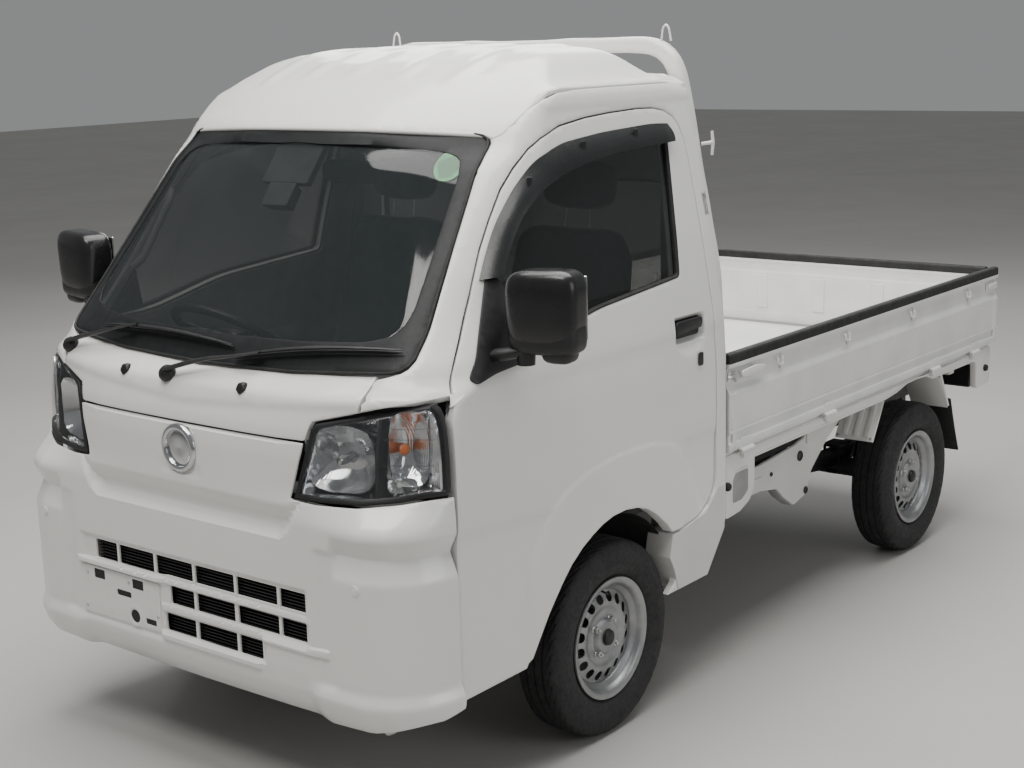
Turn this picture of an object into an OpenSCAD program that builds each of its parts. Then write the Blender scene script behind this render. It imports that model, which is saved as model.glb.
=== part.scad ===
/* [Overall] */
// Overall length, bumper to tailgate
overall_l = 3395; // [3200:5:3600]
// Width over the closed gates and the doors
body_w = 1475; // [1400:5:1600]
// Distance between the axles
wheelbase = 1900; // [1780:5:2000]
// Front axle, distance ahead of the origin
front_axle = 853; // [800:1:900]

/* [Wheels] */
// Tyre outside radius
tyre_r = 268; // [250:0.5:290]
// Tyre width
tyre_w = 142; // [125:1:165]
// Distance between the left and right wheel centre planes
track = 1304; // [1250:1:1350]
// Rim flange radius
rim_r = 167; // [150:1:180]
// Wheel bolt circle
wheel_pcd = 100; // [98:0.1:114.3]
// Hub bore radius
hub_bore_r = 15; // [12:0.1:20]
// Running clearance on the stub axles
hub_play = 0.05; // [0.02:0.01:0.1]

/* [Cab] */
// Height of the roof crown
roof_z = 1832; // [1700:1:1900]
// Height of the seat platform
platform_z = 610; // [580:1:640]
// Height of the foot floor
foot_z = 435; // [400:1:460]
// Outside face of the back wall, distance ahead of the origin
cab_back = 300; // [280:1:340]
// Thickness of doors and side walls
wall_t = 52; // [40:1:70]
// Thickness of roof and back wall
skin_t = 30; // [20:1:40]
// Clearance round a door
door_gap = 6; // [5:0.5:10]

/* [Bed] */
// Height of the load floor
floor_z = 650; // [620:1:680]
// Height of the gate tops
gate_top = 945; // [900:1:980]
// Gate thickness
gate_t = 30; // [24:1:36]
// Front end of the gates, distance ahead of the origin
gate_front = 290; // [280:1:300]
// Space between a gate and its neighbours
gate_gap = 7; // [5:0.5:12]
// Height of the guard frame's top bar
guard_z = 1833; // [1700:1:1880]
// Height of the rope hook tips
hook_z = 1872; // [1840:1:1900]

/* [Number plates] */
// Plate bolt spacing
plate_pitch = 210; // [200:1:220]
// Plate bolt hole radius
plate_hole_r = 3.5; // [3:0.1:4.5]

/* [Hidden] */

hw = body_w / 2;
front_y = -overall_l / 2;
rear_y = overall_l / 2;
fa_y = -front_axle;
ra_y = wheelbase - front_axle;
king_x = 545;
wheel_x = track / 2;
e = 1;

white = [0.93, 0.93, 0.91];
black = [0.05, 0.05, 0.055];
steel = [0.62, 0.63, 0.65];
dark = [0.12, 0.12, 0.13];
smoke = [0.2, 0.24, 0.24, 0.5];
cloth = [0.17, 0.17, 0.18];

// prisms: side view (y, z), front view (x, z)
module side_prism(pts, x0, x1)
  translate([x0, 0, 0]) rotate([90, 0, 90]) linear_extrude(x1 - x0) polygon(pts);
module front_prism(pts, y0, y1)
  translate([0, y1, 0]) rotate([90, 0, 0]) linear_extrude(y1 - y0) polygon(pts);
module box(x0, x1, y0, y1, z0, z1)
  translate([x0, y0, z0]) cube([x1 - x0, y1 - y0, z1 - z0]);
module both() { children(); mirror([1, 0, 0]) children(); }
module side(s) { if (s > 0) children(); else mirror([1, 0, 0]) children(); }
function rev(v) = [for (i = [len(v) - 1 : -1 : 0]) v[i]];
function mirrored(v) = [for (p = rev(v)) [-p[0], p[1]]];

// cab section along the length: y, z, inward direction y, z
SIDE_LINE = [
  [front_y + 60, 215, 0.7, 0.7], [front_y + 8, 250, 0.9, 0.4], [front_y, 330, 1, 0],
  [front_y, 640, 1, 0], [front_y + 8, 800, 1, 0], [front_y + 12, 900, 1, 0],
  [front_y + 22, 965, 1, 0], [front_y + 42, 1040, 1, -0.4], [front_y + 98, 1080, 1, -0.6],
  [-1200, 1632, 0.8, -0.6], [-1120, 1690, 0.65, -0.75], [-1030, 1742, 0.5, -0.85],
  [-930, 1783, 0.35, -0.95], [-820, 1812, 0.2, -1], [-700, roof_z - 4, 0.1, -1],
  [-580, roof_z, 0, -1], [-500, roof_z - 17, -0.2, -1], [-420, 1765, -0.4, -0.9],
  [-345, 1712, -0.4, -0.9], [-cab_back, 1700, -1, -1], [-cab_back, 215, -1, 0]];
function side_line(t) = [for (p = SIDE_LINE) [p[0] + t * p[2], p[1] + t * p[3]]];
// half section across: x, z, inward direction x, z
CROSS_LINE = [
  [hw, 215, -1, 0], [hw, 950, -1, 0], [hw - 9, 1060, -1, 0], [hw - 27, 1170, -1, 0],
  [hw - 47, 1290, -1, 0], [hw - 77, 1440, -1, 0], [hw - 105, 1581, -1, 0], [hw - 124, 1660, -1, 0],
  [hw - 138, 1700, -0.9, -0.4], [hw - 165, 1722, -0.5, -0.7], [hw - 195, 1740, -0.5, -0.7],
  [hw - 235, 1785, -0.5, -0.8], [hw - 285, 1806, -0.3, -1], [hw - 437, roof_z - 10, 0, -1],
  [0, roof_z, 0, -1]];
function cross_half(t, r) = [for (p = CROSS_LINE) [p[0] + t * p[2], p[1] + r * p[3]]];
function cross_line(t, r) = concat(cross_half(t, r), mirrored(cross_half(t, r)));
// windshield section: x, depth behind the centre line, measured square to the glass
GLASS_LINE = [[0, 0], [180, 5], [330, 16], [460, 34], [560, 55], [620, 76], [655, 100],
  [690, 145], [hw + 30, 260]];
function glass_line(t) = concat([for (p = GLASS_LINE) [p[0], p[1] + t]],
  [[hw + 30, 1800], [-hw - 30, 1800]], [for (i = [len(GLASS_LINE) - 1 : -1 : 1]) [-GLASS_LINE[i][0], GLASS_LINE[i][1] + t]]);
rake = -atan2(400, 552);
module glass_prism(t)
  translate([0, front_y + 97.5, 1080]) rotate([rake, 0, 0]) translate([0, 0, -1300]) linear_extrude(3200)
    polygon(glass_line(t));
// plan of the nose at headlight height
NOSE_LINE = [[0, 0], [430, 25], [560, 69], [650, 136], [705, 200], [728, 258], [hw, 350]];
function nose_line(t) = concat([for (p = NOSE_LINE) [p[0], front_y + p[1] + t]], [[hw, 0], [-hw, 0]],
  [for (i = [len(NOSE_LINE) - 1 : -1 : 1]) [-NOSE_LINE[i][0], front_y + NOSE_LINE[i][1] + t]]);
module nose_prism(t) translate([0, 0, 200]) linear_extrude(1800) polygon(nose_line(t));

module cab_outer() intersection() {
  side_prism(side_line(0), -hw - 5, hw + 5);
  front_prism(cross_line(0, 0), front_y - 10, 0);
  glass_prism(0);
  nose_prism(0);
}
module cab_inner() intersection() {
  side_prism(side_line(skin_t), -hw, hw);
  front_prism(cross_line(wall_t, skin_t), front_y - 10, 0);
  glass_prism(skin_t);
  nose_prism(wall_t);
}
module cab_shell() difference() { cab_outer(); cab_inner(); }

// door outline: y, z and the outward direction used for the clearance
DOOR_LINE = [
  [-1490, 312, -1, -1], [-1491, 993, -1, 0], [-1476, 1068, -1, 0.4], [-1396, 1191, -0.8, 0.6],
  [-1293, 1338, -0.8, 0.6], [-1190, 1462, -0.75, 0.65], [-1086, 1550, -0.5, 0.85], [-924, 1616, -0.3, 1],
  [-738, 1649, -0.1, 1], [-560, 1658, 0, 1], [-440, 1645, 0.4, 0.9], [-383, 1600, 0.9, 0.5],
  [-364, 1530, 1, 0.1], [-358, 1200, 1, 0], [-355, 760, 1, 0], [-355, 580, 1, -0.5],
  [-418, 520, 0.3, -1], [-545, 499, 0, -1], [-590, 499, 0, -1], [-670, 572, 0, -1],
  [-759, 614, 0, -1], [-873, 617, 0, -1], [-966, 590, 0, -1], [-1060, 551, 0, -1],
  [-1151, 442, 0, -1], [-1241, 312, 0, -1]];
function door_line(g) = [for (p = DOOR_LINE) [p[0] + g * p[2], p[1] + g * p[3]]];
WINDOW_LINE = [[-1370, 1102], [-1273, 1278], [-1185, 1388], [-1080, 1482], [-940, 1546],
  [-761, 1580], [-470, 1590], [-445, 1565], [-490, 1195], [-913, 1160]];

module chassis() color(dark) union() {
  for (s = [1, -1]) side(s) {
    translate([0, 0, 330]) linear_extrude(80)
      polygon([[300, -1560], [360, -1560], [360, -600], [430, -420], [430, -340], [370, -340], [370, -400], [300, -580]]);
    box(370, 430, -440, -340, 330, 500);
    box(370, 430, -440, 1640, 430, 500);
  }
  box(-310, 310, -1540, -1510, 345, 395);
  box(-380, 380, 150, 190, 435, 495);
  box(-380, 380, 1590, 1630, 435, 495);
}
module engine_block() color(dark) difference() {
  box(-235, 235, -640, -140, 235, 560);
  for (s = [1, -1]) side(s) translate([235, -700, 235]) rotate([0, 45, 0]) cube([60, 620, 60], center = false);
}
module tank() color(dark) box(-640, -445, -180, 420, 330, 520);

// distance from the middle, radius
AXLE_SECTION = [[0, 108], [50, 98], [92, 62], [120, 34], [560, 34], [560, 110], [584, 110], [584, hub_bore_r], [680, hub_bore_r]];
module axle_rear() color(dark) translate([0, ra_y, tyre_r]) rotate([0, 90, 0]) rotate_extrude($fn = 64)
  polygon(concat([for (p = AXLE_SECTION) [p[1], p[0]]], [[0, 680], [0, -680]],
    [for (i = [len(AXLE_SECTION) - 1 : -1 : 1]) [AXLE_SECTION[i][1], -AXLE_SECTION[i][0]]]));
function spring_z(u) = 318 + 82 * u * u;
module springs() color(dark) both() {
  union() {
    side_prism(concat([for (i = [-8 : 8]) [ra_y + i * 65, spring_z(i / 8) - 12]],
      [for (i = [8 : -1 : -8]) [ra_y + i * 65, spring_z(i / 8) + 12]]), 372, 428);
    for (y = [ra_y - 520, ra_y + 520]) box(375, 425, y - 18, y + 18, 388, 429);
  }
}
module arms() color(dark) both() {
  union() {
    translate([0, 0, 150]) linear_extrude(16)
      polygon([[330, fa_y + 150], [330, fa_y - 110], [520, fa_y - 26], [570, fa_y - 26], [570, fa_y + 26], [520, fa_y + 26]]);
    box(330, 350, fa_y + 90, fa_y + 150, 150, 329);
    box(330, 350, fa_y - 110, fa_y - 50, 150, 329);
  }
}
module knuckle(s) color(dark) side(s) union() {
  translate([king_x, fa_y, 180]) cylinder(h = 400, r = 24, $fn = 40);
  translate([king_x, fa_y, 172]) cylinder(h = 12, r = 14, $fn = 40);
  box(king_x - 15, king_x + 30, fa_y - 24, fa_y + 24, 200, 330);
  translate([king_x + 12, fa_y, tyre_r]) rotate([0, 90, 0]) cylinder(h = 24, r = 62, $fn = 48);
  translate([king_x + 20, fa_y, tyre_r]) rotate([0, 90, 0]) cylinder(h = 115, r = hub_bore_r, $fn = 48);
}

// wheel sections: distance outward from the centre plane, radius
RIM_SECTION = [[-60, rim_r], [-54, rim_r + 1], [-52, 152], [-36, 150], [-28, 136], [20, 136], [34, 150],
  [50, 152], [54, rim_r + 1], [60, rim_r], [60, 160], [56, 146], [38, 142], [26, 128], [26, 118],
  [34, 100], [36, 88], [30, 74], [30, 50], [46, 42], [46, 20], [46, hub_bore_r + hub_play],
  [-24, hub_bore_r + hub_play], [-24, 58], [22, 58], [24, 74], [18, 118], [14, 128], [-26, 130], [-34, 144], [-56, 146]];
TYRE_SECTION = [[-50, 154], [-50, 170], [-60, 177], [-67, 190], [-71, 215], [-69, 240], [-62, 257], [-54, 264], [-40, 267.4],
  [0, 268], [40, 267.4], [54, 264], [62, 257], [69, 240], [71, 215], [67, 190], [60, 177], [50, 170], [50, 154]];
module turned(section, fn) rotate([0, 90, 0]) rotate_extrude($fn = fn)
  polygon([for (p = section) [p[1], p[0]]]);
module wheel(x, y) color(steel) side(x) translate([wheel_x, y, tyre_r]) difference() {
  turned(RIM_SECTION, 72);
  for (i = [0 : 15]) rotate([i * 22.5, 0, 0]) translate([0, 0, 108]) rotate([0, 90, 0]) cylinder(h = 60, r = 11, $fn = 20);
  for (i = [0 : 3]) rotate([i * 90 + 45, 0, 0]) translate([0, 0, wheel_pcd / 2]) rotate([0, 90, 0]) translate([0, 0, -30]) cylinder(h = 90, r = 6, $fn = 20);
}
module tyre(x, y) color(black) side(x) translate([wheel_x, y, tyre_r])
  turned([for (p = TYRE_SECTION) [p[0] * tyre_w / 142, p[1] * tyre_r / 268]], 72);

module floor_pan() color(white) difference() {
  union() {
    side_prism([[-1590, foot_z], [-1215, foot_z], [-1140, platform_z], [-cab_back - skin_t - e, platform_z],
      [-cab_back - skin_t - e, platform_z - 20], [-1128, platform_z - 20], [-1203, foot_z - 20], [-1602, foot_z - 20],
      [-1612, foot_z + 150], [-1612, 775], [-1596, 775], [-1596, foot_z + 150]], -640, 640);
    for (s = [1, -1]) side(s) {
      difference() {
        side_prism([[-632, 325], [-410, 325], [-316, 441], [-316, 570], [-349, 570], [-414, 512], [-545, 491], [-590, 491]], 655, hw - 0.5);
        translate([0, fa_y, tyre_r]) rotate([0, 90, 0]) cylinder(h = 900, r = tyre_r + 26, $fn = 64);
      }
      box(625, 672, -530, -cab_back - skin_t - e, 430, platform_z - 2);
    }
  }
  for (s = [1, -1]) side(s) translate([595, -1700, 300]) cube([100, 160, 600]);
}
module wall_back() color(white) difference() {
  intersection() {
    cab_outer();
    union() {
      box(-hw, hw, -cab_back - skin_t, 0, 215, 1669);
      for (s = [1, -1]) side(s) box(hw - 190, hw + 5, -cab_back - 48, 0, 215, 1669);
    }
    front_prism([[-hw, 572], [hw, 572], [hw, 1669], [-hw, 1669]], -600, 0);
  }
  difference() {
    cab_inner();
    box(-hw, hw, -cab_back - skin_t + 0.01, 0, 0, 2000);
  }
  front_prism([[-560, 1080], [560, 1080], [560, 1440], [520, 1480], [-520, 1480], [-560, 1440]], -500, 0);
}
module roof_shell() color(white) intersection() {
  cab_shell();
  side_prism([[-1218, 1637], [-1150, 1660], [-1080, 1670], [-200, 1670], [-200, 1900], [-1400, 1900]], -800, 800);
}
module pillars_a() color(white) difference() {
  intersection() {
    cab_outer();
    side_prism([[-1518, 1101], [-1518, 1062], [-1400, 1062], [-cab_back - 49, 1560], [-cab_back - 49, 1669], [-1080, 1669],
      [-1150, 1659], [-1219, 1636], [-1604, 1101]], -hw - 5, hw + 5);
  }
  cab_inner();
  side_prism(door_line(door_gap), -hw - 5, hw + 5);
  side_prism([[-1400, 1000], [-1270, 1230], [-1000, 1540], [-800, 1600], [-cab_back - 40, 1590], [-cab_back - 40, 1000]], -800, 800);
  windshield_hole(0);
}
module windshield_hole(g) intersection() {
  front_prism([[-596 - g, 1103 - g], [596 + g, 1103 - g], [540 + g, 1602 + g], [500, 1622 + g], [0, 1634 + g], [-500, 1622 + g], [-540 - g, 1602 + g]], -1800, -1000);
  translate([0, front_y + 97.5, 1080]) rotate([rake, 0, 0]) translate([-800, -50, -100]) cube([1600, 220, 900]);
}
module glass_front() color(smoke) intersection() {
  cab_outer();
  difference() { glass_prism(2); glass_prism(8); }
  front_prism([[-592, 1109], [592, 1109], [536, 1600], [498, 1618], [0, 1628], [-498, 1618], [-536, 1600]], -1800, -1000);
}
HEADLIGHT = [[380, 813], [431, 983], [560, 1018], [hw + 10, 1052], [hw + 10, 828]];
module nose() color(white) difference() {
  intersection() {
    cab_outer();
    union() {
      box(-hw, hw, front_y, -1498, 812, 1058);
      box(-hw, hw, front_y, -1520, 1000, 1100);
      box(-392, 392, front_y, -1498, 740, 900);
    }
  }
  difference() {
    side_prism([[front_y + 45, 0], [front_y + 45, 1000], [front_y + 70, 1040], [-1560, 1075], [-1300, 1300], [-400, 1300], [-400, 0]], -hw + wall_t, hw - wall_t);
  }
  both() front_prism([for (p = HEADLIGHT) [p[0] + (p[0] < 440 ? -3 : 0), p[1] + (p[1] > 900 ? 3 : -3)]], front_y - 10, -1480);
  side_prism([[-1597, 1098], [-1500, 1098], [-1500, 1300], [-1700, 1300]], -800, 800);
  windshield_hole(4);
}
module lamps() color([0.9, 0.92, 0.94, 0.9]) both() intersection() {
  front_prism(HEADLIGHT, front_y - 12, -1490);
  translate([0, 0, 700]) linear_extrude(500)
    polygon(concat([[340, front_y + 24]], [for (i = [1 : 3]) [NOSE_LINE[i][0] - 4, front_y + NOSE_LINE[i][1] + 16]],
      [[690, -1499], [630, -1510], [560, -1570], [340, -1630]]));
}
BUMPER_LINE = [[0, 0], [420, 2], [590, 8], [655, 40], [708, 100], [730, 150], [hw, 191]];
function bumper_line(t) = concat([for (p = BUMPER_LINE) [p[0] - (p[0] > 500 ? t : 0), front_y + 7 + p[1] + t]],
  [for (i = [len(BUMPER_LINE) - 1 : -1 : 1]) [-BUMPER_LINE[i][0] + (BUMPER_LINE[i][0] > 500 ? t : 0), front_y + 7 + BUMPER_LINE[i][1] + t]]);
GRILLE_ROWS = [[541, 573, -389, 130, 6], [497, 529, -130, 130, 4], [453, 485, -130, 130, 3]]; // low z, high z, first x, pitch, count
module bumper() color(white) difference() {
  intersection() {
    translate([0, 0, 216]) linear_extrude(593) polygon(bumper_line(0));
    side_prism([[front_y + 67, 216], [front_y + 15, 250], [front_y + 7, 330], [front_y + 7, 640], [front_y + 15, 809], [0, 809], [0, 216]], -800, 800);
  }
  translate([0, 0, 205]) linear_extrude(620) polygon(concat(
    [for (p = BUMPER_LINE) [p[0] - (p[0] > 500 ? 40 : 0), front_y + 7 + p[1] + 42]], [[hw - 40, -1400], [-hw + 40, -1400]],
    [for (i = [len(BUMPER_LINE) - 1 : -1 : 1]) [-BUMPER_LINE[i][0] + (BUMPER_LINE[i][0] > 500 ? 40 : 0), front_y + BUMPER_LINE[i][1] + 42]]));
  box(-393, 393, front_y - 5, -1500, 737, 820);
  for (r = GRILLE_ROWS) for (i = [0 : r[4] - 1]) box(r[2] + i * r[3] + 4, r[2] + (i + 1) * r[3] - 6, front_y - 5, -1600, r[0], r[1]);
}
module bracket_front() color(steel) difference() {
  box(-380, -140, front_y, front_y + 6, 455, 530);
  for (s = [-0.5, 0.5]) translate([-260 + s * plate_pitch, front_y - 10, 500]) rotate([-90, 0, 0]) cylinder(h = 40, r = plate_hole_r, $fn = 32);
}

door_pin = [700, -1470];
module door(s) color(white) side(s) difference() {
  door_panel();
  for (z = [[300, 420]]) translate([door_pin[0], door_pin[1], z[0]]) cylinder(h = z[1] - z[0], r = 4, $fn = 32);
}
module door_panel() difference() {
  intersection() {
    cab_outer();
    side_prism(door_line(0), 450, hw + 5);
  }
  front_prism(concat([[0, 200]], [for (i = [0 : 8]) [CROSS_LINE[i][0] - wall_t, CROSS_LINE[i][1]]], [[hw - 190, 1760], [0, 1760]]), -1700, -200);
  side_prism(WINDOW_LINE, 300, hw + 5);
}
module glass_door(s) color(smoke) side(s) intersection() {
  difference() {
    front_prism(cross_line(20, 20), -1500, -300);
    front_prism(cross_line(25, 25), -1510, -290);
  }
  side_prism([for (p = WINDOW_LINE) [p[0] * 0.998, p[1] - 0.7]], 400, hw);
  side_prism([[-1368, 1104], [-1271, 1276], [-1183, 1386], [-1079, 1480], [-940, 1544], [-761, 1578], [-471, 1588], [-447, 1564], [-492, 1197], [-913, 1162]], 400, hw);
}
module mirror_unit(s) color(black) side(s) union() {
  translate([846, -1290, 1222]) rotate([0, 0, 8]) translate([-96, -54, -108]) cube([192, 108, 216]);
  box(722, 800, -1335, -1300, 1116, 1150);
}
module wiper_pair() color(black) {
  for (p = [[-541, -1608, 1058], [-70, -1670, 1038]]) box(p[0] - 20, p[0] + 20, p[1] - 20, p[1], p[2], p[2] + 24);
}
module dash() color(dark) difference() {
  intersection() {
  translate([0, 0, 700]) linear_extrude(500) polygon([[-635, -1200], [-635, -1430], [-550, -1530], [-330, -1572], [330, -1572],
    [550, -1530], [635, -1430], [635, -1200]]);
  side_prism([[-1580, 1040], [-1500, 1056], [-1320, 1046], [-1235, 1005], [-1245, 850], [-1330, 785], [-1580, 782]], -640, 640);
  }
  column_shaft(44, 20, 900);
}
column_dir = 37;
module column_at() translate([-335, -1180, 1035]) rotate([-column_dir, 0, 0]) children();
module column_shaft(r, s0, s1) column_at() translate([0, 0, -s1]) cylinder(h = s1 - s0, r = r, $fn = 48);
module column() color(dark) column_shaft(34, 32, 600);
module wheel_steering() color(black) column_at() union() {
  rotate_extrude($fn = 72) translate([182, 0]) circle(r = 14, $fn = 24);
  translate([0, 0, -26]) cylinder(h = 30, r = 62, $fn = 48);
  for (a = [90, 210, 330]) rotate([0, 0, a]) translate([40, -16, -12]) cube([136, 32, 14]);
}
module cushions() color(cloth) both() box(95, 575, -1075, -600, platform_z + 1, platform_z + 150);
module backs() color(cloth) both() {
  side_prism([[-640, 765], [-520, 775], [-400, 1340], [-520, 1340], [-640, 790]], 105, 565);
  side_prism([[-505, 1355], [-405, 1355], [-380, 1500], [-480, 1500]], 215, 455);
}

module deck() color(white) difference() {
  union() {
    box(-698, 698, -235, 1648, floor_z - 22, floor_z);
    for (s = [1, -1]) side(s) {
      box(690, 722, -282, 1676, 612, 640);
      box(690, 722, -286, -119, 455, 613);
      box(690, 722, 1545, 1676, 500, 613);
      box(600, 698, -235, 1650, 600, 640);
      box(368, 432, -235, 1655, 501, 640);
    }
    for (y = [-200, 250, 700, 1340, 1620]) box(-690, 690, y - 25, y + 25, 570, 640);
    box(-722, 722, 1650, 1676, 590, 640);
  }
  for (s = [1, -1]) side(s)
    translate([580, ra_y, tyre_r]) rotate([0, 90, 0]) cylinder(h = 200, r = tyre_r + 60, $fn = 64);
}
GUARD_OUT = [[700, 652], [700, 960], [692, 1060], [684, 1160], [662, 1298], [630, 1455], [611, 1593], [590, 1668],
  [570, 1752], [551, 1787], [524, 1812], [490, 1828], [455, guard_z], [0, guard_z]];
GUARD_IN = [[652, 652], [652, 960], [645, 1060], [637, 1160], [614, 1298], [582, 1455], [560, 1593], [542, 1668],
  [532, 1721], [520, 1753], [501, 1775], [470, 1790], [424, 1793], [0, 1793]];
module guard() color(white) union() {
  difference() {
    front_prism(concat(GUARD_OUT, mirrored(GUARD_OUT)), -285, -240);
    front_prism(concat([for (p = GUARD_IN) [p[0], p[1] < 700 ? p[1] - 10 : p[1]]], mirrored([for (p = GUARD_IN) [p[0], p[1] < 700 ? p[1] - 10 : p[1]]])), -300, -200);
  }
  box(-655, 655, -275, -250, 652, 940);
  box(-655, 655, -280, -245, 940, 975);
  for (s = [1, -1]) side(s) {
    front_prism([[490, guard_z - 10], [531, guard_z - 10], [516, hook_z], [508, hook_z]], -270, -255);
  }
}
gate_pin_x = hw + 3.5;
gate_pin_y = rear_y - 8;
module gate_side(s) color(white) side(s) union() {
  box(hw - gate_t, hw, -gate_front, rear_y - 3, floor_z + 5, gate_top);
  for (y = [-195, 326, 1128, 1486]) {
    translate([gate_pin_x, y - 35, floor_z]) rotate([-90, 0, 0]) cylinder(h = 70, r = 6, $fn = 32);
    box(hw - 12, gate_pin_x, y - 35, y + 35, floor_z - 2, floor_z + 12);
  }
}
module gate_tail() color(white) union() {
  box(-hw + gate_t + gate_gap, hw - gate_t - gate_gap, gate_pin_y - 2 - gate_t, gate_pin_y - 2, floor_z + 5, gate_top);
  for (x = [-500, 0, 500]) {
    translate([x - 35, gate_pin_y, floor_z]) rotate([0, 90, 0]) cylinder(h = 70, r = 6, $fn = 32);
    box(x - 35, x + 35, gate_pin_y - 14, gate_pin_y, floor_z - 2, floor_z + 12);
  }
}
module guards_rear() color(white) both() {
  side_prism([[694, 472], [704, 472], [784, 598], [774, 598]], 570, 716);
  side_prism([[1224, 598], [1234, 598], [1318, 470], [1308, 470]], 570, 716);
}
module flaps() color(black) both()
  side_prism([[1322, 500], [1329, 500], [1410, 288], [1403, 288]], 575, 722);
module lamps_rear() color([0.6, 0.05, 0.05]) both() box(470, 660, 1632, 1676, 480, 568);

chassis();  // chassis_frame
engine_block();  // engine
tank();  // fuel_tank
axle_rear();  // rear_axle
springs();  // leaf_springs
arms();  // control_arms
knuckle(1);  // knuckle_left
knuckle(-1);  // knuckle_right
wheel(1, fa_y);  // front_left_wheel
tyre(1, fa_y);  // front_left_tyre
wheel(-1, fa_y);  // front_right_wheel
tyre(-1, fa_y);  // front_right_tyre
wheel(1, ra_y);  // rear_left_wheel
tyre(1, ra_y);  // rear_left_tyre
wheel(-1, ra_y);  // rear_right_wheel
tyre(-1, ra_y);  // rear_right_tyre
floor_pan();  // cab_floor
wall_back();  // back_wall
roof_shell();  // roof
pillars_a();  // a_pillars
nose();  // front_panel
bumper();  // front_bumper
bracket_front();  // front_plate_bracket
lamps();  // headlights
glass_front();  // windshield
color(smoke) box(-556, 556, -cab_back - 18, -cab_back - 12, 1084, 1438);  // rear_window
door(1);  // door_left
door(-1);  // door_right
glass_door(1);  // door_glass_left
glass_door(-1);  // door_glass_right
mirror_unit(1);  // mirror_left
mirror_unit(-1);  // mirror_right
wiper_pair();  // wipers
dash();  // dashboard
column();  // steering_column
wheel_steering();  // steering_wheel
cushions();  // seat_cushions
backs();  // seat_backs
deck();  // bed_floor
guard();  // guard_frame
gate_side(1);  // side_gate_left
gate_side(-1);  // side_gate_right
gate_tail();  // tailgate
guards_rear();  // rear_mudguards
flaps();  // mud_flaps
lamps_rear();  // tail_lights
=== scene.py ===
import bpy
import math
import numpy as np
from mathutils import Vector, Matrix
from mathutils.geometry import delaunay_2d_cdt


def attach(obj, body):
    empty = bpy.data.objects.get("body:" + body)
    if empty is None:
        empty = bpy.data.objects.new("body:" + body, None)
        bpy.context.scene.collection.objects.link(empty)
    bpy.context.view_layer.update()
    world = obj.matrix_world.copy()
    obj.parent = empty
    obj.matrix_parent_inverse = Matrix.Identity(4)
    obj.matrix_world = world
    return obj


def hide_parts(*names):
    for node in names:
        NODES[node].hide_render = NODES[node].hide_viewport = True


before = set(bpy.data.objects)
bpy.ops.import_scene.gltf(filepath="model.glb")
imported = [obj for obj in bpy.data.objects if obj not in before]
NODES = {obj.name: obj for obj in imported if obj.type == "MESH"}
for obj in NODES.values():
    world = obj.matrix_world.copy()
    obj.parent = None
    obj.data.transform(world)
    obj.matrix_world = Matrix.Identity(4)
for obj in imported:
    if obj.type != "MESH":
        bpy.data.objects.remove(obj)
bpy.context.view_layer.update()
MM = 0.001
COL = bpy.context.scene.collection


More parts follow.
